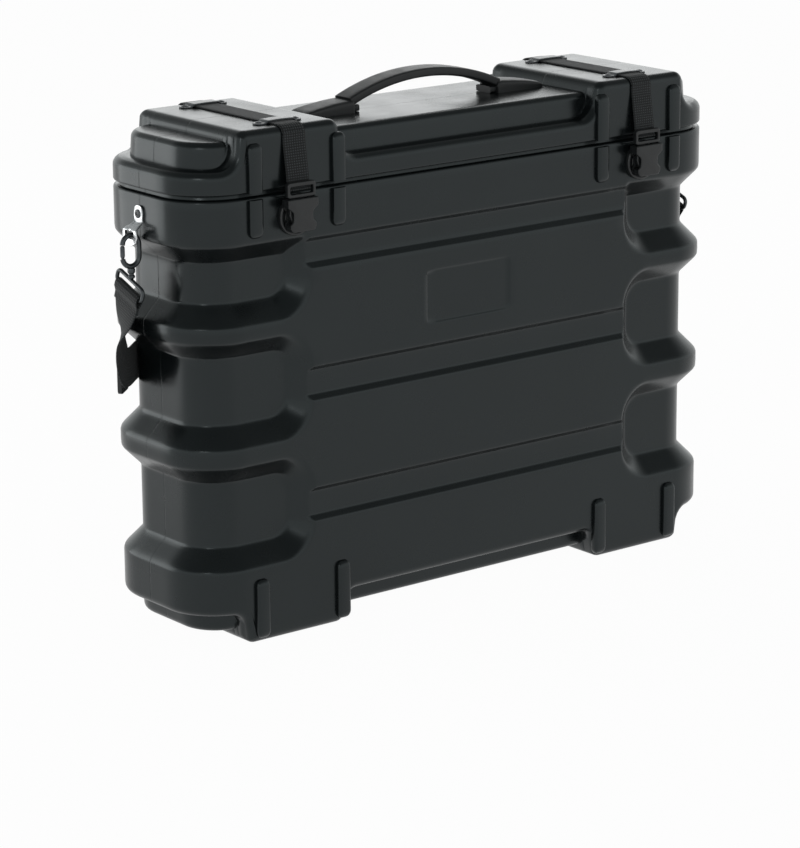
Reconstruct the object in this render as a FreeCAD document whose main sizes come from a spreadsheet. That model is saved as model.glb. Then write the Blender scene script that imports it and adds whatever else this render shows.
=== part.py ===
import FreeCAD, Part
import math
import os
import re
import Sketcher
from FreeCAD import Vector

# Upright moulded transport case for a flat screen: a deep body, a shallow lid that turns on
# its two webbing straps, side-release buckles in front, a carrying handle on top and a
# shoulder strap on two side brackets.
# X runs along the case, -Y is the front, Z is up; the origin is on the floor, mid case.

doc = FreeCAD.newDocument("ScreenCase")
sheet = doc.addObject("Spreadsheet::Sheet", "Sizes")

SIZES = {
    # case outline and wall
    "case_width": 650, "case_depth": 167, "corner_radius": 57, "wall": 5, "overrun": 3,
    "edge_chamfer": 6, "slab_inset": 17.5, "tower_end": 53, "tower_length": 115,
    # body, from the floor up
    "base_lift": 10.7, "body_ledge": 30, "foot_band": 74, "low_recess": 100, "low_rib": 17,
    "mid_recess": 101, "top_rib": 14, "top_recess": 76, "rim_band": 42,
    "foot_bend": 15, "foot_round": 10,
    # corner recesses and the grooves between them
    "recess_depth": 18.5, "recess_length": 132, "recess_round": 38, "recess_top_round": 10,
    "groove_depth": 5, "groove_height": 33, "groove_rise": 65.5, "top_groove_height": 29.5,
    "top_groove_rise": 73, "groove_overlap": 7,
    # lid, from its lower edge up
    "parting_gap": 4.5, "flange_rise": 21.5, "slab_rise": 45.5, "tower_rise": 56.5,
    "lid_bend": 20, "tower_round": 10,
    # tongue of the body inside the lid
    "tongue_thick": 4, "tongue_gap": 1.5, "tongue_lead": 2.5, "tongue_root": 12, "tongue_bite": 1,
    "seat_gap": 0.2,
    # stiffening ribs beside the straps
    "rib_width": 15, "rib_proud": 5, "rib_crown": 9, "rib_outer_inset": 16, "rib_inner_inset": 5,
    "lid_rib_rise": 45, "band_rib_drop": 5, "band_rib_height": 33, "foot_rib_base": 5,
    "foot_rib_height": 57.5,
    # bare moulded panel on the front
    "panel_width": 102, "panel_height": 51, "panel_depth": 1.2, "panel_round": 5,
    "panel_shift": 6, "panel_drop": 96,
    # foam lining
    "foam_gap": 1, "foam_base_height": 40, "foam_panel_thick": 22, "foam_end_thick": 20,
    "foam_top_drop": 12, "foam_lid_thick": 18, "foam_lid_side": 31.5, "foam_lid_end": 75,
    # carrying handle
    "cap_gap": 10, "cap_length": 66, "cap_slope": 19, "cap_outer_height": 10,
    "cap_peak_height": 18, "cap_inner_height": 8.5, "cap_depth": 30, "grip_depth": 24,
    "grip_thick": 7.5, "grip_edge": 2, "grip_rise": 33.5, "grip_end_rise": 9.5,
    "grip_bury": 21, "grip_gap": 0.3,
    # lid straps and saddle plates
    "strap_inset": 60, "web_width": 25, "web_thick": 1.8, "web_end_gap": 0.4,
    "plate_inset": 24.5, "plate_length": 52, "plate_depth": 13, "plate_thick": 1.5, "plate_slack": 0.2,
    "plate_joggle": 1.8, "screw_margin": 1.5, "screw_head": 4, "screw_rise": 1.6,
    # anchors of the straps on the body
    "anchor_radius": 18.5, "anchor_drop": 22,
    "hinge_reach": 6.5, "anchor_screw": 6, "anchor_screw_rise": 2.5,
    # socket of each buckle, from its mouth down
    "socket_drop": 4, "socket_height": 31, "socket_width": 34, "socket_waist": 26,
    "socket_flare": 29, "socket_foot": 25, "socket_thick": 11, "socket_front": 1.5,
    "socket_back": 2.1, "socket_shoulder": 8, "socket_neck": 14, "socket_window": 21,
    "socket_hip": 24, "socket_toe": 27, "socket_depth": 24, "socket_play": 0.6,
    # plug of each buckle and its two prongs
    "latch_gap": 0.4, "plug_width": 31.5, "plug_height": 14.5, "plug_thick": 5, "plug_back": 3.1,
    "plug_slot_width": 26, "plug_slot_height": 7, "plug_bar": 3.6, "prong_length": 22.6,
    "prong_thick": 4, "prong_reach": 13.2, "prong_root": 11.6, "prong_inner": 7, "prong_belly": 15,
    "prong_tip": 10, "prong_notch": 8.4,
    # side brackets
    "bracket_thick": 2.5, "bracket_width": 14, "bracket_nose": 9, "bracket_height": 34.5,
    "bracket_drop": 11, "bracket_slope": 3.5, "bracket_flat": 14.5, "loop_width": 21,
    "loop_height": 14.5, "loop_bar": 5.5, "loop_slot_width": 14, "loop_slot_height": 7,
    "loop_standoff": 10, "bracket_screw": 4.2, "bracket_screw_rise": 1.8,
    "bracket_screw_drop": 7.5,
    # snap hooks, swivels and strap rings
    "hook_width": 22, "hook_height": 33, "hook_wire": 4, "hook_play": 0.7, "gate_gap": 0.5,
    "gate_height": 12, "gate_low": 10, "gate_pin": 2, "gate_toe": 2, "swivel_radius": 3.6,
    "swivel_drop": 9, "swivel_sink": 3, "ring_width": 47, "ring_height": 16, "ring_wire": 4,
    "ring_round": 5, "ring_tilt": 21,
    # shoulder strap
    "strap_width": 37, "strap_thick": 1.8, "strap_end_length": 14, "strap_play": 0.3,
    "slider_height": 44, "slider_width": 26, "slider_thick": 4.5, "slider_back": 6, "slider_rim": 3,
    "slider_bar": 4, "slider_slot": 6,
}

# places and levels that follow from those sizes
DERIVED = {
    "tower_outer": "case_width / 2 - tower_end", "tower_inner": "tower_outer - tower_length",
    "recess_end": "case_width / 2 - recess_length", "groove_reach": "recess_end + groove_overlap",
    "rim": "foot_band + low_recess + low_rib + mid_recess + top_rib + top_recess + rim_band",
    "lid_edge": "rim + parting_gap", "lid_ledge": "lid_edge + flange_rise",
    "slab_top": "lid_edge + slab_rise", "tower_top": "lid_edge + tower_rise",
    "rib_outer": "tower_outer - rib_outer_inset", "rib_inner": "tower_inner + rib_inner_inset",
    "panel_base": "rim - panel_drop - panel_height",
    "foam_in": "recess_depth + wall + foam_gap", "foam_floor": "base_lift + wall",
    "foam_step": "foam_floor + foam_base_height", "foam_height": "rim - foam_top_drop - foam_step",
    "foam_lid_length": "case_width - 2 * foam_lid_end", "foam_lid_depth": "case_depth - 2 * foam_lid_side",
    "cap_outer": "tower_inner - cap_gap", "cap_inner": "cap_outer - cap_length",
    "cap_peak": "cap_inner + cap_slope", "grip_half": "cap_inner + grip_bury",
    "grip_sag": "grip_rise - grip_end_rise",
    "grip_radius": "(grip_half * grip_half + grip_sag * grip_sag) / (2 * grip_sag)",
    "grip_angle": "2 * asin(grip_half / grip_radius)",
    "strap_x": "tower_outer - strap_inset", "plate_y": "case_depth / 2 - plate_inset",
    "hinge_y": "case_depth / 2 + hinge_reach", "hinge_z": "rim + parting_gap / 2",
    "anchor_z": "rim - anchor_drop", "anchor_face": "hinge_y - web_thick",
    "mouth": "rim - socket_drop", "plug_top": "mouth + latch_gap + plug_height",
    "bracket_top": "rim - bracket_drop", "bracket_foot": "bracket_top - bracket_height",
}

for row, (alias, value) in enumerate(SIZES.items(), 1):
    sheet.set("A%d" % row, alias)
    sheet.set("B%d" % row, str(value))
    sheet.setAlias("B%d" % row, alias)
doc.recompute()

NODES = []
ACROSS = Vector(1, 0, 0)
DEEP = Vector(0, 1, 0)
UP = Vector(0, 0, 1)
TOUCH = 1e-6
CORNER_STEPS = 3
ROUND_STEPS = 5
SCREW_SIDES = 16
ANCHOR_SIDES = 32


def bind(text):
    """Expression in which each size's name is read from the sheet."""
    def cell(match):
        word = match.group(0)
        if word in DERIVED:
            return "(%s)" % bind(DERIVED[word])
        return "Sizes." * (word in SIZES) + word
    return re.sub(r"[a-z_]+", cell, text)


def number(text):
    """Value of an expression of the sheet's sizes."""
    return float(sheet.evalExpression(bind(text)))


class Values:
    """The sizes as plain numbers."""


V = Values()
for alias in [*SIZES, *DERIVED]:
    setattr(V, alias, number(alias))
half_w, half_d = V.case_width / 2, V.case_depth / 2
slant = V.wall * (math.sqrt(2) - 1)


def node(obj, name):
    """Marks an object as a sub-part that is written under this name."""
    obj.Label = name
    NODES.append(obj)
    return obj


def feature(name, shape, placement=None):
    """Object whose shape is made from the sheet's values."""
    obj = doc.addObject("Part::Feature", name)
    obj.Shape = shape
    if placement:
        obj.Placement = placement
    return obj


def place(obj, x, y, z):
    for axis, text in zip("xyz", (x, y, z)):
        obj.setExpression(".Placement.Base." + axis, bind(text))
    return obj


def box(name, length, width, height, x, y, z):
    """Box with its least corner at x, y, z; all six are expressions."""
    obj = doc.addObject("Part::Box", name)
    for prop, text in (("Length", length), ("Width", width), ("Height", height)):
        obj.setExpression(prop, bind(text))
    return place(obj, x, y, z)


def round_pad(name, sides, radius, rise, axis, x, y, z):
    """Low round head or pad of many sides that stands on a face, along the given axis."""
    obj = doc.addObject("Part::Prism", name)
    obj.Polygon = sides
    for prop, text in (("Circumradius", radius), ("Height", rise)):
        obj.setExpression(prop, bind(text))
    obj.Placement = FreeCAD.Placement(Vector(), FreeCAD.Rotation(UP, axis))
    return place(obj, x, y, z)


def boolean(kind, name, first, second):
    obj = doc.addObject("Part::" + kind, name)
    obj.Base = first
    obj.Tool = second
    return obj


def mirrored(source, name, normal):
    """Mirror image of an object through the middle of the case."""
    obj = doc.addObject("Part::Mirroring", name)
    obj.Source = source
    obj.Normal = normal
    return obj


def both_sides(source, stem):
    """Names the left-hand piece and adds the right-hand one."""
    node(source, stem + "_left")
    node(mirrored(source, stem + "_right", ACROSS), stem + "_right")


def group(name, sources):
    """Identical fasteners kept as one sub-part."""
    obj = doc.addObject("Part::Compound", name)
    obj.Links = sources
    return node(obj, name)


def new_body(name):
    return doc.addObject("PartDesign::Body", name)


def sketch(body, role, loops, shift="0", rise="0"):
    """Sketch of closed outlines on an origin plane; every corner is bound to the sheet."""
    sk = body.newObject("Sketcher::SketchObject", body.Name + "_sketch")
    sk.AttachmentSupport = [([f for f in body.Origin.OriginFeatures if f.Role == role][0], "")]
    sk.MapMode = "FlatFace"
    sk.setExpression("AttachmentOffset.Base.z", bind(shift))
    sk.setExpression("AttachmentOffset.Base.y", bind(rise))
    first = 0
    for corners in loops:
        count = len(corners)
        spots = [Vector(number(a), number(b), 0) for a, b in corners]
        for i in range(count):
            sk.addGeometry(Part.LineSegment(spots[i], spots[(i + 1) % count]))
        for i in range(count):
            after = first + (i + 1) % count
            sk.addConstraint(Sketcher.Constraint("Coincident", first + i, 2, after, 1))
        for i, corner in enumerate(corners):
            for kind, axis, text in (("DistanceX", -2, corner[0]), ("DistanceY", -1, corner[1])):
                if abs(number(text)) < TOUCH:
                    sk.addConstraint(Sketcher.Constraint("PointOnObject", first + i, 1, axis))
                    continue
                at = Sketcher.Constraint(kind, -1, 1, first + i, 1, number(text))
                sk.setExpression("Constraints[%d]" % sk.addConstraint(at), bind(text))
        first += count
    return sk


def extrude(body, sk, length, kind="Pad", symmetric=False):
    """Pad or pocket of a sketch; a pocket that takes nothing away is an error."""
    doc.recompute()
    before = body.Shape.Volume if kind == "Pocket" else 0
    feat = body.newObject("PartDesign::" + kind, body.Name + "_" + kind.lower())
    feat.Profile = sk
    feat.setExpression("Length", bind(length))
    feat.SideType = "Symmetric" if symmetric else "One side"
    body.Tip = feat
    doc.recompute()
    if kind == "Pocket" and body.Shape.Volume >= before:
        raise RuntimeError("the pocket of %s takes nothing away" % body.Name)
    return body


def turn(body, sk, angle=None):
    """Revolution of a sketch about its own horizontal axis."""
    feat = body.newObject("PartDesign::Revolution", body.Name + "_turn")
    feat.Profile = sk
    feat.ReferenceAxis = (sk, ["H_Axis"])
    if angle:
        feat.setExpression("Angle", bind(angle))
        feat.Midplane = True
    body.Tip = feat
    return body


def rounded_wire(corners, spot):
    """Closed wire through (a, b, radius) corners, with an arc at each that has a radius."""
    ends = []
    for i, (a, b, radius) in enumerate(corners):
        here = Vector(a, b, 0)
        if radius <= 0:
            ends.append((here, None, here))
            continue
        back = (Vector(*corners[i - 1][:2], 0) - here).normalize()
        ahead = (Vector(*corners[(i + 1) % len(corners)][:2], 0) - here).normalize()
        half = back.getAngle(ahead) / 2
        run = radius / math.tan(half)
        middle = here + (back + ahead).normalize() * (radius / math.sin(half) - radius)
        ends.append((here + back * run, middle, here + ahead * run))
    edges = []
    for i, (start, middle, end) in enumerate(ends):
        if middle:
            edges.append(Part.Arc(*[spot(p.x, p.y) for p in (start, middle, end)]).toShape())
        after = ends[(i + 1) % len(ends)][0]
        if (after - end).Length > TOUCH:
            edges.append(Part.LineSegment(spot(end.x, end.y), spot(after.x, after.y)).toShape())
    return Part.Wire(edges)


def stepped_ring(corners, spot):
    """Points of the same outline with each rounded corner in a few straight steps."""
    points = []
    for i, (a, b, radius) in enumerate(corners):
        here = Vector(a, b, 0)
        back = (Vector(*corners[i - 1][:2], 0) - here).normalize()
        ahead = (Vector(*corners[(i + 1) % len(corners)][:2], 0) - here).normalize()
        for k in range(ROUND_STEPS + 1):
            angle = math.radians(k * 90 / ROUND_STEPS)
            near, far = radius * (1 - math.sin(angle)), radius * (1 - math.cos(angle))
            points.append(here + back * near + ahead * far)
    return [spot(p.x, p.y) for i, p in enumerate(points) if (p - points[i - 1]).Length > TOUCH]


def face_of(ring):
    return Part.Face(Part.makePolygon(ring + ring[:1]))


def slab_of(ring, along):
    """Solid of a closed ring of points, drawn out along a vector."""
    return face_of(ring).extrude(along)


def skinned(rings):
    """Solid with flat faces between closed rings of equally many points."""
    faces = [face_of(rings[0]), face_of(rings[-1])]
    for low, high in zip(rings, rings[1:]):
        for i in range(len(low)):
            faces.append(face_of([low[i - 1], low[i], high[i], high[i - 1]]))
    solid = Part.Solid(Part.Shell(faces))
    if solid.Volume < 0:
        solid.reverse()
    return solid


def front_and_back(shape):
    return [shape, shape.mirror(Vector(), DEEP)]


def left_and_right(shape):
    return [shape, shape.mirror(Vector(), ACROSS)]


def plan_prism(inset, low, high):
    """Upright prism on the case's rounded plan, set in by the inset."""
    a, b, r = half_w - inset, half_d - inset, V.corner_radius - inset
    corners = [(-a, -b, r), (a, -b, r), (a, b, r), (-a, b, r)]
    wire = rounded_wire(corners, lambda x, y: Vector(x, y, low))
    return Part.Face(wire).extrude(Vector(0, 0, high - low))


def stacked(levels):
    """Solid with flat faces through (height, inset) levels of the plan, corners in a few steps."""
    rings = []
    for z, inset in levels:
        r = V.corner_radius - inset
        ring = []
        for sx, sy, start in ((1, 1, 0), (-1, 1, 90), (-1, -1, 180), (1, -1, 270)):
            for k in range(CORNER_STEPS + 1):
                angle = math.radians(start + k * 90 / CORNER_STEPS)
                x = sx * (half_w - V.corner_radius) + r * math.cos(angle)
                ring.append(Vector(x, sy * (half_d - V.corner_radius) + r * math.sin(angle), z))
        rings.append(ring)
    return skinned(rings)


def on_outline(point):
    """True where a point lies on the case's outermost upright faces."""
    dx = max(abs(point.x) - (half_w - V.corner_radius), 0)
    dy = max(abs(point.y) - (half_d - V.corner_radius), 0)
    return abs(math.hypot(dx, dy) - V.corner_radius) < math.sqrt(TOUCH)


def stepped_block(edge, ledge, slab, top, bend, rounding):
    """Flush band with two raised blocks across the case, and the set-in slab between them."""
    ends = [(V.tower_inner, ledge, bend), (V.tower_inner, top, rounding), (V.tower_outer, top, rounding),
            (V.tower_outer, ledge, bend), (half_w, ledge, 0), (half_w, edge, 0)]
    corners = [(-x, z, r) for x, z, r in reversed(ends)] + ends
    wire = rounded_wire(corners, lambda x, z: Vector(x, -half_d, z))
    low, high = min(edge, top) - V.overrun, max(edge, top) + V.overrun
    block = Part.Face(wire).extrude(DEEP * V.case_depth).common(plan_prism(0, low, high))
    outer = []
    for e in block.Edges:
        span = e.LastParameter - e.FirstParameter
        spots = [e.valueAt(e.FirstParameter + span * k / 4) for k in range(5)]
        if all(on_outline(p) for p in spots) and all(abs(v.Z - edge) > TOUCH for v in e.Vertexes):
            outer.append(e)
    block = block.makeChamfer(V.edge_chamfer, outer)
    inner = plan_prism(V.slab_inset, min(edge, slab), max(edge, slab))
    brim = [e for e in inner.Edges if all(abs(v.Z - slab) < TOUCH for v in e.Vertexes)]
    return block.fuse(inner.makeChamfer(V.edge_chamfer, brim))


def trough(low, high, depth, wall):
    """Section of a recess with 45 degree sides, as (distance behind the face, height)."""
    near, far = wall - V.overrun, wall + depth
    shut, wide = wall * math.sqrt(2) - far, wall * math.sqrt(2) - near
    return [(near, low - wide), (far, low - shut), (far, high + shut), (near, high + wide)]


def corner_recess(low, high, top_round):
    """Cutter of one corner recess: a D-shaped end in front and behind, joined round the side."""
    section = trough(low, high, V.recess_depth, 0)
    x_corner, y_corner = half_w - V.corner_radius, half_d - V.corner_radius
    ends = []
    for depth, z_low in (section[0], section[1]):
        a, z_high = V.recess_end + depth, low + high - z_low
        top = top_round - depth if top_round > V.recess_depth else top_round
        corners = [(x_corner, z_low, 0), (a, z_low, V.recess_round - depth), (a, z_high, top),
                   (x_corner, z_high, 0)]
        ends.append(stepped_ring(corners, lambda x, z, y=depth - half_d: Vector(x, y, z)))
    front = skinned(ends)
    bend = face_of([Vector(x_corner, depth - half_d, z) for depth, z in section])
    bend = bend.revolve(Vector(x_corner, -y_corner, 0), UP, 90)
    side = slab_of([Vector(half_w - depth, -y_corner, z) for depth, z in section], DEEP * (2 * y_corner))
    return front_and_back(front) + front_and_back(bend) + [side]


# Body shell: feet and set-in base below, three corner recesses at each end, grooves across
# front and back, a flush rim band and a tongue that stands up inside the lid.
recess_levels = []
level = V.foot_band
for height, gap, top_round, rise, groove in (
        (V.low_recess, V.low_rib, V.recess_round, V.groove_rise, V.groove_height),
        (V.mid_recess, V.top_rib, V.recess_round, V.groove_rise, V.groove_height),
        (V.top_recess, V.rim_band, V.recess_top_round, V.top_groove_rise, V.top_groove_height)):
    recess_levels.append((level, level + height, top_round, level + rise - groove, level + rise))
    level += height + gap

body_outer = stepped_block(V.rim, V.body_ledge, V.base_lift, 0, V.foot_bend, V.foot_round)
cutters = []
hollows = []
levels = [(V.base_lift + V.wall, V.slab_inset + V.wall + V.edge_chamfer),
          (V.base_lift + V.wall + V.edge_chamfer, V.slab_inset + V.wall),
          (V.body_ledge + V.wall, V.slab_inset + V.wall),
          (V.body_ledge + V.wall, V.wall + V.edge_chamfer),
          (V.body_ledge + V.wall + V.edge_chamfer, V.wall)]
for low, high, top_round, groove_low, groove_high in recess_levels:
    for piece in corner_recess(low, high, top_round):
        cutters += left_and_right(piece)
    levels += [(low - slant, V.wall), (low - slant + V.recess_depth, V.wall + V.recess_depth),
               (high + slant - V.recess_depth, V.wall + V.recess_depth), (high + slant, V.wall)]
    for wall, kept in ((0, cutters), (V.wall, hollows)):
        section = trough(groove_low, groove_high, V.groove_depth, wall)
        points = [Vector(-V.groove_reach, depth - half_d, z) for depth, z in section]
        kept += front_and_back(slab_of(points, ACROSS * (2 * V.groove_reach)))
levels.append((V.rim + V.overrun, V.wall))

# the inside follows the outside one wall behind it; between the recess ends it stays wide
x_near, x_far = V.recess_end - slant, V.recess_end - slant + V.recess_depth
y_near, y_far = half_d - V.wall, half_d - V.wall - V.recess_depth
floor = V.body_ledge + V.wall + V.edge_chamfer
corners = [(-x_near, -y_near), (x_near, -y_near), (x_far, -y_far), (-x_far, -y_far)]
panel = slab_of([Vector(x, y, floor) for x, y in corners], UP * (V.rim + V.overrun - floor))
foot_length = V.tower_outer - V.tower_inner - 2 * V.wall
foot_room = Part.makeBox(foot_length, V.case_depth - 2 * V.wall, floor - V.wall,
                         Vector(V.tower_inner + V.wall, V.wall - half_d, V.wall))
inside = stacked(levels).fuse(front_and_back(panel) + left_and_right(foot_room)).cut(hollows)

tongue_top = V.lid_ledge - V.wall - V.seat_gap
outer_inset = V.wall + V.tongue_gap
tongue = stacked([(V.rim - V.tongue_root, V.wall - V.tongue_bite), (V.rim, V.wall - V.tongue_bite),
                  (V.rim, outer_inset), (tongue_top - V.tongue_lead, outer_inset),
                  (tongue_top, outer_inset + V.tongue_lead)])
inner_inset = outer_inset + V.tongue_thick
tongue = tongue.cut(stacked([(V.rim - V.tongue_root - V.overrun, inner_inset),
                             (tongue_top + V.overrun, inner_inset)]))


def ribs(low, high):
    """Upright ribs beside the straps, front and back, rooted in the wall."""
    out = []
    for x in (V.rib_inner, V.rib_outer):
        foot, crown = V.rib_width / 2, V.rib_crown / 2
        y_in, y_face, y_out = V.overrun - half_d, -half_d, -half_d - V.rib_proud
        corners = [(-foot, y_in), (-foot, y_face), (-crown, y_out), (crown, y_out), (foot, y_face),
                   (foot, y_in)]
        rib = slab_of([Vector(x + dx, y, low) for dx, y in corners], UP * (high - low))
        for one in left_and_right(rib):
            out += front_and_back(one)
    return out


panel_x = -V.panel_shift
a, b = V.panel_width / 2, V.panel_height / 2
z_panel = V.panel_base + b
corners = [(panel_x - a, z_panel - b, V.panel_round), (panel_x + a, z_panel - b, V.panel_round),
           (panel_x + a, z_panel + b, V.panel_round), (panel_x - a, z_panel + b, V.panel_round)]
bare_panel = slab_of(stepped_ring(corners, lambda x, z: Vector(x, -half_d - V.overrun, z)),
                     DEEP * (V.overrun + V.panel_depth))
band_rib_top = V.rim - V.band_rib_drop
body_shape = body_outer.cut(cutters + [bare_panel]).cut(inside)
body_shape = body_shape.fuse(ribs(V.foot_rib_base, V.foot_rib_base + V.foot_rib_height)
                             + ribs(band_rib_top - V.band_rib_height, band_rib_top) + [tongue])
node(feature("body_shell", body_shape.removeSplitter()), "body_shell")

# Lid shell: a flush flange, a set-in slab and two flush towers that carry the straps.
lid_outer = stepped_block(V.lid_edge, V.lid_ledge, V.slab_top, V.tower_top, V.lid_bend, V.tower_round)
ceiling = V.slab_top - V.wall
lid_inside = stacked([(V.lid_edge - V.overrun, V.wall), (V.lid_ledge - V.wall, V.wall),
                      (V.lid_ledge - V.wall, V.slab_inset + V.wall),
                      (ceiling - V.edge_chamfer, V.slab_inset + V.wall),
                      (ceiling, V.slab_inset + V.wall + V.edge_chamfer)])
low = V.lid_ledge - V.wall - V.edge_chamfer
tower_room = Part.makeBox(foot_length, V.case_depth - 2 * V.wall, V.tower_top - V.wall - low,
                          Vector(V.tower_inner + V.wall, V.wall - half_d, low))
lid_inside = lid_inside.fuse(left_and_right(tower_room))
lid_shape = lid_outer.cut(lid_inside).fuse(ribs(V.lid_edge, V.lid_edge + V.lid_rib_rise))
node(feature("lid_shell", lid_shape.removeSplitter()), "lid_shell")

# Foam lining: a base pad, a panel before and behind the screen, two end blocks, a lid pad.
base_inset = V.slab_inset + V.wall + V.edge_chamfer + V.foam_gap
foam_base = plan_prism(base_inset, V.foam_floor, V.foam_step)
node(feature("foam_base", foam_base), "foam_base")
foam_front = box("foam_front", "case_width - 2 * corner_radius", "foam_panel_thick", "foam_height",
                 "corner_radius - case_width / 2", "foam_in - case_depth / 2", "foam_step")
node(foam_front, "foam_front")
node(mirrored(foam_front, "foam_rear", DEEP), "foam_rear")
foam_end = box("foam_end", "foam_end_thick", "case_depth - 2 * corner_radius", "foam_height",
               "foam_in - case_width / 2", "corner_radius - case_depth / 2", "foam_step")
both_sides(foam_end, "foam_end")
node(box("foam_lid", "foam_lid_length", "foam_lid_depth", "foam_lid_thick", "-foam_lid_length / 2",
         "-foam_lid_depth / 2", "slab_top - wall - foam_lid_thick"), "foam_lid")


# Carrying handle: an arched grip whose ends sit in two moulded caps on the slab.
def grip_arch(name, gap):
    """Arc of the grip's section, grown by a gap all round."""
    body = new_body(name)
    y_out, y_in = "grip_depth / 2 + %s" % gap, "grip_depth / 2 - grip_edge"
    low, high = "grip_radius - grip_thick - %s" % gap, "grip_radius + %s" % gap
    half = [(y_in, low), (y_out, low + " + grip_edge"), (y_out, high + " - grip_edge"), (y_in, high)]
    outline = half + [("-(%s)" % y, z) for y, z in reversed(half)]
    sk = sketch(body, "YZ_Plane", [outline], rise="slab_top + grip_rise - grip_radius")
    return turn(body, sk, "grip_angle")


node(grip_arch("handle_grip", "0"), "handle_grip")
cap = new_body("handle_cap")
cap_outline = [("-cap_outer", "slab_top"), ("-cap_outer", "slab_top + cap_outer_height"),
               ("-cap_peak", "slab_top + cap_peak_height"),
               ("-cap_inner", "slab_top + cap_inner_height"), ("-cap_inner", "slab_top")]
extrude(cap, sketch(cap, "XZ_Plane", [cap_outline]), "cap_depth", symmetric=True)
both_sides(boolean("Cut", "handle_cap_seat", cap, grip_arch("grip_room", "grip_gap")), "handle_cap")


# Lid straps: each runs over its tower from the hinge line behind to the buckle in front.
def ribbon(inner, width, thickness, x):
    """Flat band on an inner path of (y, z) points, thickened to its left and drawn along X."""
    count = len(inner)
    outer = []
    for i, (y, z) in enumerate(inner):
        here = Vector(0, y, z)
        runs = [Vector(0, *inner[j + 1]) - Vector(0, *inner[j]) for j in (i - 1, i) if 0 <= j < count - 1]
        normals = [Vector(0, r.z, -r.y).normalize() for r in runs]
        if len(normals) == 2:
            lean = normals[0] + normals[1]
            outer.append(here + lean * (thickness * 2 / lean.Length ** 2))
        else:
            outer.append(here + Vector(0, math.copysign(thickness, normals[0].y), 0))
    points = [Vector(0, y, z) for y, z in inner] + outer[::-1]
    return slab_of([p + Vector(x - width / 2, 0, 0) for p in points], ACROSS * width)


shoulder = half_d - V.edge_chamfer
fall_top = V.tower_top - V.edge_chamfer
over_path = [(V.anchor_face, V.hinge_z + V.web_end_gap), (half_d, fall_top), (shoulder, V.tower_top),
             (-shoulder, V.tower_top), (-half_d, fall_top)]
over = ribbon(over_path, V.web_width, V.web_thick, -V.strap_x)
both_sides(feature("strap_over", over), "strap_over")
fall_y = -number("anchor_face + plug_back + plug_thick / 2 - web_thick / 2")
fall = ribbon([(-half_d, fall_top), (fall_y, V.plug_top)], V.web_width, -V.web_thick, -V.strap_x)
both_sides(feature("strap_front", fall), "strap_front")
hinge_web = box("strap_hinge", "web_width", "web_thick", "hinge_z - web_end_gap - anchor_z + anchor_radius",
                "-strap_x - web_width / 2", "anchor_face", "anchor_z - anchor_radius")
both_sides(hinge_web, "strap_hinge")

# Saddle plates: pressed bridges that hold the webbing on the tower tops, two screws each.
plate = new_body("saddle_plate")
half = [("plate_length / 2", "0"), ("plate_length / 2", "plate_thick"),
        ("web_width / 2 + plate_joggle + plate_thick", "plate_thick"),
        ("web_width / 2 + plate_thick", "web_thick + plate_slack + plate_thick")]
under = [("web_width / 2 + plate_slack", "web_thick + plate_slack"), ("web_width / 2 + plate_joggle", "0")]
outline = half + [("-(%s)" % x, z) for x, z in reversed(half)]
outline += [("-(%s)" % x, z) for x, z in reversed(under)] + under
outline = [("-strap_x + " + x, "tower_top + " + z) for x, z in outline]
sk = sketch(plate, "XZ_Plane", [outline], shift="plate_y - plate_depth / 2")
extrude(plate, sk, "plate_depth")
plate_rear = mirrored(plate, "saddle_plate_rear", DEEP)
both_sides(plate, "saddle_plate_front")
both_sides(plate_rear, "saddle_plate_rear")
heads = []
for side in ("-", ""):
    for deep in ("-", ""):
        for step in ("-", "+"):
            x = "%sstrap_x %s (plate_length / 2 - screw_head - screw_margin)" % (side, step)
            heads.append(round_pad("saddle_screw", SCREW_SIDES, "screw_head", "screw_rise", UP, x,
                                   deep + "plate_y", "tower_top + plate_thick"))
group("saddle_screws", heads)


# Anchors: round pads on the rim band, in front under the buckle and behind under the webbing.
for name, axis, face in (("anchor_front", -DEEP, "-case_depth / 2"), ("anchor_rear", DEEP, "case_depth / 2")):
    both_sides(round_pad(name, ANCHOR_SIDES, "anchor_radius", "anchor_face - case_depth / 2", axis,
                         "-strap_x", face, "anchor_z"), name)
group("anchor_screws", [round_pad("anchor_screw", SCREW_SIDES, "anchor_screw", "anchor_screw_rise", DEEP,
                                  side + "strap_x", "hinge_y", "anchor_z") for side in ("-", "")])


# Buckles: a waisted socket on each front anchor and a plug with two prongs on each strap.
def about_strap(half, top):
    """Outline symmetric about the left strap, from half widths and drops below a level."""
    right = [("-strap_x + " + x, "%s - (%s)" % (top, drop)) for x, drop in half]
    return right + [("-strap_x - " + x, "%s - (%s)" % (top, drop)) for x, drop in reversed(half)]


socket = new_body("buckle_socket")
outline = about_strap([("socket_width / 2", "0"), ("socket_width / 2", "socket_shoulder"),
                       ("socket_waist / 2", "socket_neck"), ("socket_waist / 2", "socket_window"),
                       ("socket_flare / 2", "socket_hip"), ("socket_flare / 2", "socket_toe"),
                       ("socket_foot / 2", "socket_height")], "mouth")
extrude(socket, sketch(socket, "XZ_Plane", [outline], shift="anchor_face"), "socket_thick")
back, front = "-(anchor_face + socket_back)", "-(anchor_face + socket_thick - socket_front)"
left, right = "-strap_x - prong_reach - socket_play", "-strap_x + prong_reach + socket_play"
sk = sketch(socket, "XY_Plane", [[(left, back), (right, back), (right, front), (left, front)]], shift="mouth")
extrude(socket, sk, "socket_depth", kind="Pocket")
both_sides(socket, "buckle_socket")

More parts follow.
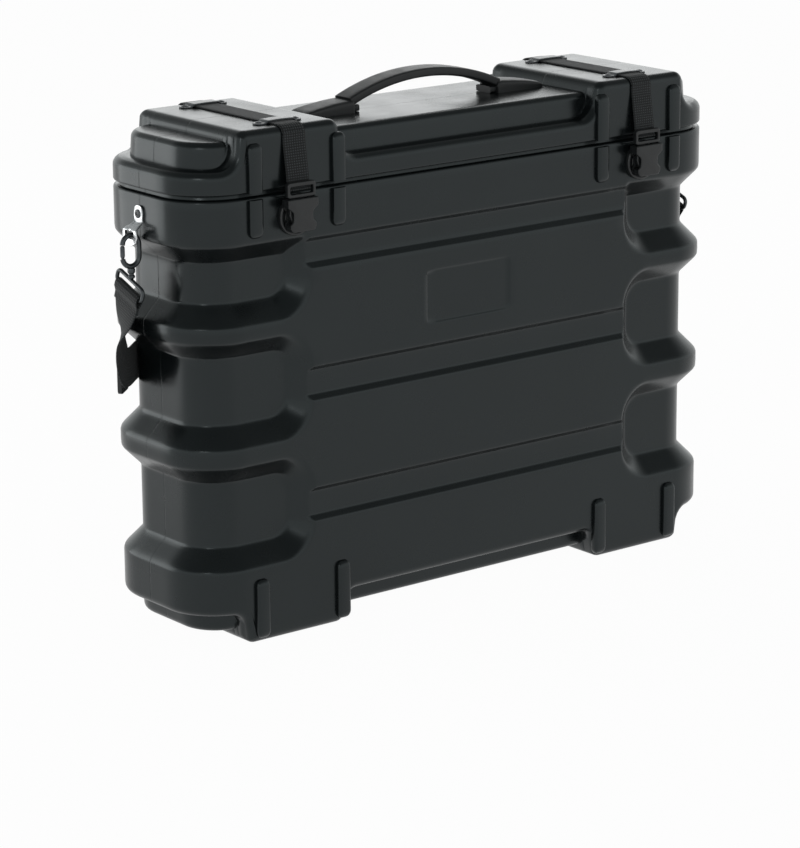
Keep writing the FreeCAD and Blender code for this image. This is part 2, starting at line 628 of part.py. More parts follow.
plug = new_body("buckle_plug")
frame = about_strap([("plug_width / 2", "0"), ("plug_width / 2", "plug_height")], "plug_top")
slot = about_strap([("plug_slot_width / 2", "plug_height - plug_bar - plug_slot_height"),
                    ("plug_slot_width / 2", "plug_height - plug_bar")], "plug_top")
extrude(plug, sketch(plug, "XZ_Plane", [frame, slot], shift="anchor_face + plug_back"), "plug_thick")
both_sides(plug, "buckle_plug")

for name, sign in (("prong_outer", "-"), ("prong_inner", "+")):
    prong = new_body(name)
    shape = [("prong_root", "0"), ("prong_reach", "prong_belly"), ("prong_tip", "prong_length"),
             ("prong_inner", "prong_length"), ("prong_notch", "prong_belly"), ("prong_inner", "0")]
    outline = [("-strap_x %s %s" % (sign, x), "mouth - " + drop) for x, drop in shape]
    extrude(prong, sketch(prong, "XZ_Plane", [outline], shift="anchor_face + plug_back"), "prong_thick")
    both_sides(prong, name)

# Side brackets: steel plates screwed to the ends, cranked outward to a slotted loop.
SIDE = "-case_width / 2"
crank = new_body("bracket_crank")
flat, bent = "bracket_top - bracket_flat", "bracket_foot + loop_bar + loop_slot_height"
inner, outer = "%s - loop_standoff" % SIDE, "%s - loop_standoff - bracket_thick" % SIDE
outline = [(SIDE, "bracket_top"), (SIDE, flat), (inner, bent), (inner, "bracket_foot"),
           (outer, "bracket_foot"), (outer, bent), (SIDE + " - bracket_thick", flat),
           (SIDE + " - bracket_thick", "bracket_top")]
extrude(crank, sketch(crank, "XZ_Plane", [outline]), "loop_width", symmetric=True)
face = new_body("bracket_face")
half = [("bracket_nose / 2", "bracket_top"), ("bracket_width / 2", "bracket_top - bracket_slope"),
        ("bracket_width / 2", "bracket_foot + loop_height + bracket_slope"),
        ("loop_width / 2", "bracket_foot + loop_height"), ("loop_width / 2", "bracket_foot")]
outline = half + [("-(%s)" % y, z) for y, z in reversed(half)]
y, low = "loop_slot_width / 2", "bracket_foot + loop_bar"
slot = [(y, low), ("-" + y, low), ("-" + y, low + " + loop_slot_height"), (y, low + " + loop_slot_height")]
sk = sketch(face, "YZ_Plane", [outline, slot], shift=outer + " - overrun")
extrude(face, sk, "loop_standoff + bracket_thick + 2 * overrun")
both_sides(boolean("Common", "side_bracket", crank, face), "side_bracket")
group("bracket_screws", [
    round_pad("bracket_screw", SCREW_SIDES, "bracket_screw", "bracket_screw_rise", axis,
              "%s(case_width / 2 + bracket_thick)" % side, "0", "bracket_top - bracket_screw_drop")
    for side, axis in (("-", -ACROSS), ("", ACROSS))])

# Snap hooks: an oval frame through the bracket's slot, with a gate in its outer side.
hook_x = number("-case_width / 2 - loop_standoff - bracket_thick / 2")
hook_top = number("bracket_foot + loop_bar + hook_play + hook_wire")
hook_foot = hook_top - V.hook_height


def oval(inset):
    """Face of the hook's outline in the XZ plane, set in all round."""
    a, low, high = V.hook_width / 2 - inset, hook_foot + inset, hook_top - inset
    corners = [(hook_x - a, low, a), (hook_x + a, low, a), (hook_x + a, high, a), (hook_x - a, high, a)]
    return face_of(stepped_ring(corners, lambda x, z: Vector(x, -V.hook_wire / 2, z)))


gate_x, gate_z = hook_x - V.hook_width / 2, hook_foot + V.gate_low
mouth = Part.makeBox(V.hook_wire + V.overrun + V.gate_gap, V.hook_wire + 2 * V.overrun,
                     V.gate_height + 2 * V.gate_gap,
                     Vector(gate_x - V.overrun, -V.hook_wire / 2 - V.overrun, gate_z - V.gate_gap))
hook = oval(0).cut(oval(V.hook_wire)).extrude(DEEP * V.hook_wire).cut(mouth)
both_sides(feature("snap_hook", hook), "snap_hook")
a, toe, knee = V.hook_wire / 2, V.gate_toe / 2, V.gate_pin
corners = [(-toe, 0), (toe, 0), (a, knee), (a, V.gate_height), (-a, V.gate_height), (-a, knee)]
gate = slab_of([Vector(gate_x + a + dx, -a, gate_z + dz) for dx, dz in corners], DEEP * V.hook_wire)
both_sides(feature("hook_gate", gate), "hook_gate")

# Swivel post under each hook and the strap ring that hangs from it at a slant.
tilt = FreeCAD.Placement(Vector(hook_x, 0, hook_foot - V.swivel_drop), FreeCAD.Rotation(ACROSS, V.ring_tilt))
reach = V.ring_width
under = Part.makeBox(reach, reach, reach, Vector(-reach / 2, -reach / 2, -reach))
under.Placement = tilt
turns = [math.radians(k * 360 / SCREW_SIDES) for k in range(SCREW_SIDES)]
post = slab_of([Vector(hook_x + V.swivel_radius * math.cos(t), V.swivel_radius * math.sin(t),
                       hook_foot - V.swivel_drop - V.swivel_sink) for t in turns],
               UP * (V.swivel_drop + V.swivel_sink))
both_sides(feature("hook_swivel", post.cut(under)), "hook_swivel")


def ring_face(inset):
    a, low, r = V.ring_width / 2 - inset, V.ring_height - inset, V.ring_round - inset
    corners = [(-a, -low, r), (a, -low, r), (a, -inset, r), (-a, -inset, r)]
    return face_of(stepped_ring(corners, lambda y, z: Vector(-V.ring_wire / 2, y, z)))


ring = ring_face(0).cut(ring_face(V.ring_wire)).extrude(ACROSS * V.ring_wire)
both_sides(feature("strap_ring", ring, tilt), "strap_ring")

# Shoulder strap: its ends fold round the rings and the band hangs behind the case.
a, thick = V.ring_wire / 2 + V.strap_play, V.strap_thick
bar_top, bar_low = V.ring_wire - V.ring_height, -V.ring_height
foot = bar_low - V.strap_end_length
outer = [(-a - thick, bar_low), (-a - thick, bar_top + thick + V.strap_play),
         (a + thick, bar_top + thick + V.strap_play), (a + thick, bar_low), (thick, bar_low - a - thick),
         (thick, foot), (-thick, foot), (-thick, bar_low - a - thick)]
room = [(-a, bar_low - V.strap_play), (-a, bar_top + V.strap_play), (a, bar_top + V.strap_play),
        (a, bar_low - V.strap_play)]
fold, bar_room = [slab_of([Vector(x, -V.strap_width / 2, z) for x, z in points], DEEP * V.strap_width)
                  for points in (outer, room)]
both_sides(feature("strap_end", fold.cut(bar_room), tilt), "strap_end")

# stations of the left half of the band: shares of half the width, of its place behind the
# case and of the rim height, then the lean of its width from upright and the heading of that
# lean from the back towards the right
ROUTE_SHARES = [(-1.0385, 0.1445, 0.7123, 80, 18), (-1.0415, 0.1689, 0.6745, 90, 42),
                (-1.0415, 0.1729, 0.6498, 90, 48), (-1.0351, 0.1923, 0.6250, 60, 48),
                (-1.0175, 0.2442, 0.6068, 30, 48), (-0.9935, 0.3154, 0.6002, 0, 48),
                (-0.9271, 0.5127, 0.5991, 0, 0), (-0.8791, 0.6572, 0.5967, 0, 0),
                (-0.8062, 0.7426, 0.5896, 0, 0), (-0.7015, 0.8850, 0.5731, 0, 0),
                (-0.5538, 0.975, 0.5236, 0, 0), (-0.4308, 1, 0.4481, 0, 0), (-0.3077, 1, 0.3892, 0, 0),
                (-0.1538, 1, 0.3455, 0, 0), (0, 1, 0.3302, 0, 0)]
LEVEL_STATION = 6
band_y = number("anchor_face + socket_thick - strap_thick / 2")
down = tilt.Rotation.multVec(-UP)
start = tilt.multVec(Vector(0, 0, foot)) + down * V.strap_play
stations = [(start, tilt.Rotation.multVec(DEEP))]
for x, y, z, lean, heading in ROUTE_SHARES:
    wide = FreeCAD.Rotation(UP, -heading).multVec(FreeCAD.Rotation(ACROSS, -lean).multVec(UP))
    stations.append((Vector(x * half_w, y * band_y, z * V.rim), wide))
stations += [(Vector(-p.x, p.y, p.z), Vector(-w.x, w.y, w.z)) for p, w in stations[-2::-1]]
wires = []
for i, (spot, wide) in enumerate(stations):
    if i in (0, len(stations) - 1):
        run = down if i == 0 else -down
    else:
        run = stations[i + 1][0] - stations[i - 1][0]
    across = run.cross(wide).normalize()
    wide = across.cross(run).normalize()
    corners = [spot + wide * (a * V.strap_width / 2) + across * (b * V.strap_thick / 2)
               for a, b in ((-1, -1), (1, -1), (1, 1), (-1, 1))]
    wires.append(Part.makePolygon(corners + corners[:1]))
strap_length = sum((b[0] - a[0]).Length for a, b in zip(stations, stations[1:]))
node(feature("shoulder_strap", Part.makeLoft(wires, True, True)), "shoulder_strap")

# Slide adjuster: a frame with two slots and a middle bar on the outer face of the left run.
spot = stations[LEVEL_STATION][0]
along = stations[LEVEL_STATION + 1][0] - spot
along = Vector(along.x, along.y, 0).normalize()
outside = UP.cross(along)


def on_band(left, right, half, off, thick):
    """Block on the band's outer face: from left to right along it, half above and below."""
    corner = [(left, -half), (right, -half), (right, half), (left, half)]
    base = spot + outside * (V.strap_thick / 2 + off)
    return slab_of([base + along * u + UP * v for u, v in corner], outside * thick)


slider = on_band(-V.slider_back - V.slider_width / 2, V.slider_width / 2 - V.slider_back,
                 V.slider_height / 2, V.strap_play, V.slider_thick)
for first in (V.slider_bar - V.slider_width / 2, V.slider_width / 2 - V.slider_bar - V.slider_slot):
    slider = slider.cut(on_band(first - V.slider_back, first + V.slider_slot - V.slider_back,
                                V.slider_height / 2 - V.slider_rim, V.strap_play - V.overrun,
                                V.slider_thick + 2 * V.overrun))
node(feature("strap_slider", slider), "strap_slider")

# Every object must have been made soundly before the pieces are written.
doc.recompute()
for obj in doc.Objects:
    if "Invalid" in obj.State or "Error" in obj.State:
        raise RuntimeError("%s failed: %s" % (obj.Name, obj.State))
os.makedirs("parts", exist_ok=True)
for obj in NODES:
    if obj.Shape.isNull() or not obj.Shape.isValid() or not obj.Shape.Solids:
        raise RuntimeError("%s is not a sound solid" % obj.Label)
    obj.Shape.exportStep("parts/%s.step" % obj.Label)
    print(obj.Label, len(obj.Shape.Solids), round(obj.Shape.Volume, 1))
print("shoulder strap length", round(strap_length, 1))
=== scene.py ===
import bmesh
import bpy
import numpy as np
from mathutils import Matrix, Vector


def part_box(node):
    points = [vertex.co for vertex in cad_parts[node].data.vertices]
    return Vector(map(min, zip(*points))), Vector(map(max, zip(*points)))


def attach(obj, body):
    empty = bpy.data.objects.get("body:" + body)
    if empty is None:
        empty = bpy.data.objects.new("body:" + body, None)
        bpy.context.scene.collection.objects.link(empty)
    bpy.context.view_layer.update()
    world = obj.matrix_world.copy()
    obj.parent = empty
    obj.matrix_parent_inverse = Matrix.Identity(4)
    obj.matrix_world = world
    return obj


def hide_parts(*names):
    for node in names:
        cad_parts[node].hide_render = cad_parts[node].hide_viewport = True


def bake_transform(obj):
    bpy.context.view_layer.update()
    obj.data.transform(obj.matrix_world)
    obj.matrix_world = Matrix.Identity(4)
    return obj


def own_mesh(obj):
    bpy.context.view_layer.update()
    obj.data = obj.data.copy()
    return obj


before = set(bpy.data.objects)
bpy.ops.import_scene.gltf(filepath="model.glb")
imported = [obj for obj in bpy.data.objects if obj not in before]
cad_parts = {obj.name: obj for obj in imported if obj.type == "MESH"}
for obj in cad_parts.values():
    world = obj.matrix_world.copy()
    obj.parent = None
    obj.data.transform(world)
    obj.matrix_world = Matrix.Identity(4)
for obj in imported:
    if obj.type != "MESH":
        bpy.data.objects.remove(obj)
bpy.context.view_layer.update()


# Tub: the deep half of the case, one thick skin of moulded polyethylene. Three recesses wrap
# each end, grooves join them across front and back, ribs stiffen it beside the straps, and
# two feet, a rolled rim and a tongue inside the lid close it off below and above.

# half sizes and corner radius of the plan; lengths are in millimetres up to the finished meshes
half_length, half_depth, corner_round = 325, 83.5, 57
middle_x, middle_y = half_length - corner_round, half_depth - corner_round
long_side, short_side, quarter = 2 * middle_x, 2 * middle_y, corner_round * np.pi / 2


def outline(s, inset):
    """Plan of the case by arc length s, from the left end of the front's flat.

    A point is its corner's middle plus (corner_round - inset) times the outward normal."""
    breaks = np.cumsum([0] + 2 * [long_side, quarter, short_side, quarter])
    s = np.mod(s, breaks[-1])
    angle = np.interp(s, breaks, np.radians([-90, -90, 0, 0, 90, 90, 180, 180, 270]))
    x = np.interp(s, breaks, middle_x * np.array([-1, 1, 1, 1, 1, -1, -1, -1, -1]))
    y = np.interp(s, breaks, middle_y * np.array([-1, -1, -1, 1, 1, 1, 1, -1, -1]))
    return x + (corner_round - inset) * np.cos(angle), y + (corner_round - inset) * np.sin(angle)


def spaced(low, high, coarse, bands):
    """Places from low to high, a coarse step apart, with finer steps in each (start, end, step).

    They lie evenly on the running sum of one over the step."""
    t = np.linspace(low, high, 6001)
    density = np.full(t.shape, 1 / coarse)
    for start, end, step in bands:
        density = np.where((t > start) & (t < end), np.maximum(density, 1 / step), density)
    total = np.concatenate(([0], np.cumsum((density[1:] + density[:-1]) / 2 * np.diff(t))))
    return np.interp(np.linspace(0, total[-1], int(np.ceil(total[-1])) + 1), total, t)


def around(front, bend):
    """Arc lengths of the columns round the plan: front, corner, end and corner, then again behind."""
    flats = long_side + short_side
    end = long_side + quarter + np.linspace(0, short_side, 9)
    far_bend = flats + quarter + quarter - bend[::-1]
    half = np.concatenate((front + middle_x, long_side + bend, end, far_bend))
    return np.concatenate((half, half + flats + 2 * quarter))


def ring(s, inset, z):
    """Row of points on the plan at an inset and a height."""
    x, y = outline(s, inset)
    return np.stack(np.broadcast_arrays(x, y, z), -1)


def step_curve(ledge, top, near, far, bend, rounding, count=9):
    """Height against |x| of a ledge that steps to a block between near and far.

    Each step is a concave quarter arc of the bend and a convex one of the rounding."""
    up = np.sign(top - ledge)
    turn = np.radians(np.linspace(0, 85, count))
    back = turn[::-1]
    x = np.concatenate((near - bend * (1 - np.sin(turn)), near + rounding * (1 - np.sin(back))))
    z = np.concatenate((ledge + up * bend * (1 - np.cos(turn)), top - up * rounding * (1 - np.cos(back))))
    return np.concatenate((x, near + far - x[::-1])), np.concatenate((z, z[::-1]))


def soft_max(a, b, width):
    """The larger of two values, rounded: within the width of each other a parabola is added."""
    h = np.maximum(width - np.abs(a - b), 0) / width
    return np.maximum(a, b) + h * h * width / 4


def soft_min(a, b, width):
    """The smaller of two values, rounded in the same way."""
    return -soft_max(-a, -b, width)


def rounded_gap(over_x, over_z, radius):
    """Signed distance outside a box with rounded corners, from how far a point passes its sides."""
    a, b = over_x + radius, over_z + radius
    return np.minimum(np.maximum(a, b), 0) + np.hypot(np.maximum(a, 0), np.maximum(b, 0)) - radius


def stepped_end(s, wall, curve, start, slab, slab_inset, edge, fine=7):
    """Rows that close one end of the shell, from the wall at the start height to the middle line.

    The edge curve (s, height) is rounded square to itself: a row at turn t lies edge (1 - sin t)
    behind the curve along its normal and edge (1 - cos t) in from the wall. Inside it come the
    ledge or block, the slab's wall and rounding, and the slab, the higher of slab and block."""
    def height(x):
        return np.interp(np.abs(x), *curve)

    level = height(outline(s, wall)[0])
    up = np.sign(slab - start)
    whole = 4 * quarter + 2 * (long_side + short_side)
    slope = np.gradient(np.concatenate((level[-1:], level, level[:1])),
                        np.concatenate((s[-1:] - whole, s, s[:1] + whole)))[1:-1]
    run_s, run_z = -up * slope / np.hypot(1, slope), up / np.hypot(1, slope)
    rows = []
    for f in np.linspace(0, 1, fine + 2)[:-1]:
        rows.append(ring(s - f * edge * run_s, wall, start + f * (level - edge * run_z - start)))
    for turn in np.radians(np.linspace(0, 90, fine + 1)):
        drop = edge * (1 - np.sin(turn))
        rows.append(ring(s - drop * run_s, wall + edge * (1 - np.cos(turn)), level - drop * run_z))
    slab_edge, draft, fillet = 7, 1.2, 3
    ledge = curve[1][0]
    tops = [(inset, ledge) for inset in (wall + edge + 2, slab_inset - 3)]
    tops += [(slab_inset - draft + draft * f, ledge + f * (slab - up * slab_edge - ledge))
             for f in np.linspace(0, 1, fine - 2)]
    tops += [(slab_inset + slab_edge * (1 - np.cos(t)), slab - up * slab_edge * (1 - np.sin(t)))
             for t in np.radians(np.linspace(15, 90, fine - 1))]
    for inset, z in tops:
        x, y = outline(s, inset)
        z = up * soft_max(up * height(x), up * np.full(x.shape, z), fillet)
        rows.append(np.stack((x, y, z), -1))
    # past the middle line's end the rows keep to levels of |x|, so they follow the block's end
    line_end = 241.5
    x_end, y_end = outline(s, slab_inset + slab_edge)
    reach = np.abs(x_end)
    past = reach > line_end
    far_side = curve[0][len(curve[0]) // 2:]
    stops = np.concatenate(([reach.max()], far_side[far_side > line_end + 0.5][::-1], [252, line_end]))
    for k, stop in enumerate(stops[1:], 1):
        x = np.where(past, np.minimum(reach, stop), reach)
        share = np.where(past, (x - line_end) / np.maximum(reach - line_end, 1e-9), 1 - k / (len(stops) - 1))
        z = up * soft_max(up * height(x), np.full(x.shape, up * slab), fillet)
        rows.append(np.stack((np.sign(x_end) * x, y_end * share, z), -1))
    return rows


# each recess's low and high edge, the rounding of its upper corners, and its groove's low and high edge
recesses = ((74, 174, 38, 106.5, 139.5), (191, 292, 38, 223.5, 256.5), (306, 382, 10, 349.5, 379))
recess_start, recess_round, recess_deep, groove_deep = 193, 38, 18.5, 5
# the bare front panel's middle, half sizes and depth
panel_x, panel_z, panel_half_x, panel_half_z, panel_deep = -6, 302.5, 51, 25.5, 1.2


def setback(s, z):
    """How far the tub's wall lies behind its plan at arc length s and height z.

    A recess is as deep as the distance inside a rounded outline, so its walls slope at 45 degrees
    down to its floor; a groove slopes the same way; the panel's edge is a ramp 1.4 mm wide."""
    x, y = outline(s, 0)
    x, z = np.broadcast_arrays(x, z)
    depth = np.zeros(x.shape)
    for low, high, top_round, groove_low, groove_high in recesses:
        middle = (low + high) / 2
        radius = np.where(z > middle, top_round, recess_round)
        reach = -rounded_gap(recess_start - np.abs(x), np.abs(z - middle) - (high - low) / 2, radius)
        depth = np.maximum(depth, soft_min(soft_max(reach, 0, 3), recess_deep, 2.4))
        groove = np.minimum(z - groove_low, groove_high - z)
        groove = soft_min(soft_max(groove, 0, 1.6), groove_deep, 1.6)
        depth = np.where(np.abs(x) < 200, np.maximum(depth, groove), depth)
    panel = rounded_gap(np.abs(x - panel_x) - panel_half_x, np.abs(z - panel_z) - panel_half_z, 5)
    return depth + np.where(y < 0, panel_deep * np.clip(0.5 - panel / 1.4, 0, 1), 0)


def stiffener(x, side, low, high, cut=None):
    """Rib that stands proud of the front (side -1) or back wall, as closed rings up its height.

    A ring is a flattened oval; it sinks and narrows over the taper to each end that isn't cut square."""
    half_wide, rise, sunk, taper = 7.5, 5, 4, 7
    turn = np.linspace(0, 2 * np.pi, 24, endpoint=False)
    wide = half_wide * np.sign(np.cos(turn)) * np.abs(np.cos(turn)) ** 0.5
    proud = np.sign(np.sin(turn)) * np.abs(np.sin(turn)) ** 0.5
    near = np.linspace(0, 1, 6) ** 2
    z = np.concatenate((low + taper * near, high - taper * near[::-1]))
    size = np.ones(len(z))
    for end, away in (("low", z - low), ("high", high - z)):
        if cut != end:
            size *= np.sqrt(np.maximum(1 - np.clip(1 - away / taper, 0, 1) ** 2, 0.0004))
    size = size[:, None]
    points = np.empty((len(z), len(turn), 3))
    points[..., 0] = x + wide * (0.3 + 0.7 * size)
    points[..., 1] = side * (half_depth + np.where(proud > 0, rise * proud * size, sunk * proud))
    points[..., 2] = z[:, None]
    return skin(points)


def grid_faces(rows, columns):
    """Quads of a grid that closes round its columns."""
    i, j = np.meshgrid(np.arange(rows - 1), np.arange(columns), indexing="ij")
    after = (j + 1) % columns
    here, above = i * columns, (i + 1) * columns
    return np.stack((here + j, here + after, above + after, above + j), -1).reshape(-1, 4)


def outward(points, faces):
    """Turns the faces of a closed surface outward, by the sign of its volume."""
    corners = points[faces]
    volume = sum(np.einsum("ij,ij->i", corners[:, 0], np.cross(corners[:, k], corners[:, k + 1])).sum()
                 for k in (1, 2))
    return points, faces if volume > 0 else faces[:, [1, 0, 3, 2]]


def skin(rings):
    """Closed surface through rings of equally many points, with a fan to the middle of each end."""
    rows, columns = rings.shape[:2]
    points = np.concatenate((rings.reshape(-1, 3), rings[:1].mean(1), rings[-1:].mean(1)))
    j = np.arange(columns)
    after = (j + 1) % columns
    last = (rows - 1) * columns
    low, high = np.full(columns, rows * columns), np.full(columns, rows * columns + 1)
    faces = np.concatenate((grid_faces(rows, columns), np.stack((after, j, low, low), -1),
                            np.stack((last + j, last + after, high, high), -1)))
    return outward(points, faces)


def piece(name, parts, material, body, nodes, crease=38, weave=None):
    """Object made of closed parts in millimetres; it rides on a body and stands for CAD nodes.

    Points that fall together are merged, unless each carries its place in a weave. A face whose last
    two corners are one point is a triangle."""
    starts = np.cumsum([0] + [len(points) for points, faces in parts])
    points = np.concatenate([points for points, faces in parts]) / 1000
    faces = np.concatenate([faces + start for (_, faces), start in zip(parts, starts)])
    corners = np.ones(faces.shape, dtype=bool)
    corners[:, 3] = faces[:, 3] != faces[:, 2]
    mesh = bpy.data.meshes.new(name)
    mesh.vertices.add(len(points))
    mesh.vertices.foreach_set("co", points.ravel())
    mesh.loops.add(int(corners.sum()))
    mesh.loops.foreach_set("vertex_index", faces[corners].astype(np.int32))
    mesh.polygons.add(len(faces))
    mesh.polygons.foreach_set("loop_start", (np.cumsum(corners.sum(1)) - corners.sum(1)).astype(np.int32))
    mesh.update(calc_edges=True)
    work = bmesh.new()
    work.from_mesh(mesh)
    if weave is None:
        bmesh.ops.remove_doubles(work, verts=work.verts, dist=1e-6)
    bmesh.ops.dissolve_degenerate(work, edges=work.edges, dist=1e-7)
    work.to_mesh(mesh)
    work.free()
    if weave is not None:
        layer = mesh.attributes.new("weave", "FLOAT_VECTOR", "POINT")
        layer.data.foreach_set("vector", np.column_stack((weave, np.zeros(len(weave)))).ravel())
    mesh.polygons.foreach_set("use_smooth", np.ones(len(mesh.polygons), dtype=bool))
    mesh.set_sharp_from_angle(angle=np.radians(crease))
    mesh.materials.append(material)
    obj = bpy.data.objects.new(name, mesh)
    bpy.context.collection.objects.link(obj)
    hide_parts(*nodes)
    if body:
        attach(obj, body)
    return obj


def linear(code):
    """Linear colour of an sRGB hex code."""
    c = np.array([int(code[i:i + 2], 16) for i in (1, 3, 5)]) / 255
    c = np.where(c <= 0.04045, c / 12.92, ((c + 0.055) / 1.055) ** 2.4)
    return (*c.tolist(), 1)


def add(tree, kind, inputs=(), **settings):
    """Adds a shader node with its settings, and fills or links its sockets."""
    node = tree.nodes.new("ShaderNode" + kind)
    for key, value in settings.items():
        setattr(node, key, value)
    for key, value in dict(inputs).items():
        if isinstance(value, bpy.types.NodeSocket):
            tree.links.new(value, node.inputs[key])
        else:
            node.inputs[key].default_value = value
    return node


def new_finish(name, **sockets):
    """Material with a principled surface whose constant sockets are set."""
    material = bpy.data.materials.new(name)
    material.use_nodes = True
    tree = material.node_tree
    tree.nodes.clear()
    surface = add(tree, "BsdfPrincipled", {k.replace("_", " "): v for k, v in sockets.items()})
    tree.links.new(surface.outputs[0], add(tree, "OutputMaterial").inputs["Surface"])
    return material, tree, surface


def mottled(tree, coords, size, low, high):
    """Colour that drifts between two codes over a noise of that size in millimetres."""
    noise = add(tree, "TexNoise", {"Vector": coords, "Scale": 1000 / size, "Detail": 3.0})
    ramp = add(tree, "ValToRGB", {"Fac": noise.outputs["Fac"]})
    ramp.color_ramp.elements[0].position = 0.3
    ramp.color_ramp.elements[0].color = linear(low)
    ramp.color_ramp.elements[1].position = 0.7
    ramp.color_ramp.elements[1].color = linear(high)
    return ramp.outputs["Color"]


def roughened(tree, surface, noise, low, high):
    """Roughness that drifts from low to high over the middle range of a noise."""
    drift = add(tree, "MapRange", {"Value": noise, "From Min": 0.3, "From Max": 0.7, "To Min": low,
                                   "To Max": high})
    tree.links.new(drift.outputs["Result"], surface.inputs["Roughness"])


# a satin black, barely uneven, that mirrors the studio in broad soft streaks
shell_plastic, tree, surface = new_finish("black moulded polyethylene", Specular_IOR_Level=0.42, IOR=1.5,
                                          Specular_Tint=linear("#f1fdff"))
coords = add(tree, "TexCoord").outputs["Object"]
tree.links.new(mottled(tree, coords, 111, "#0b0e0f", "#101415"), surface.inputs["Base Color"])
smear = add(tree, "TexNoise", {"Vector": coords, "Scale": 1000 / 38.5, "Detail": 4.0}).outputs["Fac"]
roughened(tree, surface, smear, 0.22, 0.29)
# a fine orange-peel grain of about a millimetre, over the slow waviness of a cooled moulding
grain = add(tree, "TexNoise", {"Vector": coords, "Scale": 1000 / 1.11, "Detail": 2.0}).outputs["Fac"]
wave = add(tree, "TexNoise", {"Vector": coords, "Scale": 1000 / 83.3, "Detail": 1.0}).outputs["Fac"]
# the mould's parting line runs round the middle of both ends as a hair-thin groove
y = add(tree, "SeparateXYZ", {"Vector": coords}).outputs["Y"]
beside = add(tree, "Math", {0: y}, operation="ABSOLUTE").outputs[0]
seam = add(tree, "MapRange", {"Value": beside, "From Min": 0.0003, "From Max": 0.0008}).outputs["Result"]
wavy = add(tree, "Bump", {"Height": wave, "Strength": 0.35, "Distance": 0.0012})
parting = add(tree, "Bump", {"Height": seam, "Strength": 0.5, "Distance": 0.0004,
                             "Normal": wavy.outputs[0]})
fine = add(tree, "Bump", {"Height": grain, "Strength": 0.15, "Distance": 0.00006,
                          "Normal": parting.outputs[0]})
tree.links.new(fine.outputs[0], surface.inputs["Normal"])

shell_thick, block_near, block_far, slab_inset, block_edge = 5, 157, 272, 17.5, 8
foot_ledge, foot_slab, foot_start, rim_start, rim_round = 30, 10.7, 44, 421.5, 2.5
# columns stand closer at the panel's sides, the foot's steps and the recesses' edges
front = spaced(0, middle_x, 13, [
    (43.5, 46.5, 0.8), (55.5, 58.5, 0.8), (141, 168, 2.3), (191, 195, 0.9), (195, 234, 1.9),
    (210, 213, 0.9), (261, middle_x, 2.3)])
front = np.concatenate((-front[:0:-1], front))
s = around(front, spaced(0, quarter, 7, [(0, 28, 2.4)])[1:-1])
foot_curve = step_curve(foot_ledge, top=0, near=block_near, far=block_far, bend=15, rounding=10)
foot_rows = stepped_end(s, 0, foot_curve, foot_start, foot_slab, slab_inset, block_edge)
# rows stand closer at the edges and floors of the recesses and grooves, and at the panel's edges
edges = []
for low, high, top_round, groove_low, groove_high in recesses:
    edges += [(level - 1.5, level + 1.5, 0.9) for level in (
        low, low + recess_deep, high - recess_deep, high)]
    edges += [(low, low + recess_round, 2.9), (high - max(top_round, 14), high, 2.9)]
    edges += [(level - 0.8, level + 0.8, 0.6) for level in (
        groove_low, groove_low + groove_deep, groove_high - groove_deep, groove_high)]
edges += [(level - 0.9, level + 0.9, 0.7) for level in (panel_z - panel_half_z, panel_z + panel_half_z)]
wall_rows = [ring(s, setback(s, z), z) for z in spaced(foot_start, rim_start, 9, edges)[1:]]
rim_rows = [ring(s, rim_round * (1 - np.cos(t)), rim_start + rim_round * np.sin(t))
            for t in np.radians([30, 60, 90])]
# from the rim up the tongue's outer side, over its top and down inside to the wall
rim_rows += [ring(s, inset, z) for inset, z in (
    (6.1, 424), (6.5, 424.6), (6.5, 442), (7.2, 443.8), (8.5, 444.7), (9.6, 444.4), (10.5, 443.2),
    (10.5, 414), (9.5, 412), (5, 411))]
inner_rows = [ring(s, setback(s, z) + shell_thick, z) for z in (
    400, 385, 380, 362, 340, 326, 312, 302, 290, 276, 250, 232, 208, 194, 185, 171, 155, 125, 95, 78, 60)]
floor_curve = step_curve(foot_ledge + shell_thick, top=shell_thick, near=block_near + shell_thick,
                         far=block_far - shell_thick, bend=10, rounding=8, count=5)
floor_rows = stepped_end(s, shell_thick, floor_curve, foot_start, foot_slab + shell_thick,
                         slab_inset + shell_thick, block_edge - shell_thick, fine=4)
rows = np.stack(foot_rows[::-1] + wall_rows + rim_rows + inner_rows + floor_rows)
tub = [outward(rows.reshape(-1, 3), grid_faces(*rows.shape[:2]))]
rib_places = [(x, side) for x in (-256, -162, 162, 256) for side in (-1, 1)]
for x, side in rib_places:
    tub += [stiffener(x, side, 5, 62.5), stiffener(x, side, 386, 422, "high")]
piece("tub", tub, shell_plastic, "case", ["body_shell"])


# Lid: the shallow half, moulded in the same polyethylene. Its flange sits over the tongue, a
# set-in slab carries the handle, and two flush towers carry the straps.
lid_start, lid_ledge, slab_top, tower_top = 430.5, 450, 474, 485
# columns stand closer at the towers' steps
front = spaced(0, middle_x, 9, [(130, 170, 1.5), (258, middle_x, 1.5)])
front = np.concatenate((-front[:0:-1], front))
s = around(front, spaced(0, quarter, 6, [(0, 34, 1.5)])[1:-1])
tower_curve = step_curve(lid_ledge, tower_top, block_near, block_far, bend=20, rounding=10)
outer_rows = stepped_end(s, 0, tower_curve, lid_start, slab_top, slab_inset, block_edge)
hollow_curve = step_curve(lid_ledge - shell_thick, tower_top - shell_thick, block_near + shell_thick,
                          block_far - shell_thick, bend=15, rounding=8)
inner_rows = stepped_end(s, shell_thick, hollow_curve, lid_start, slab_top - shell_thick,
                         slab_inset + shell_thick, block_edge - shell_thick, fine=4)
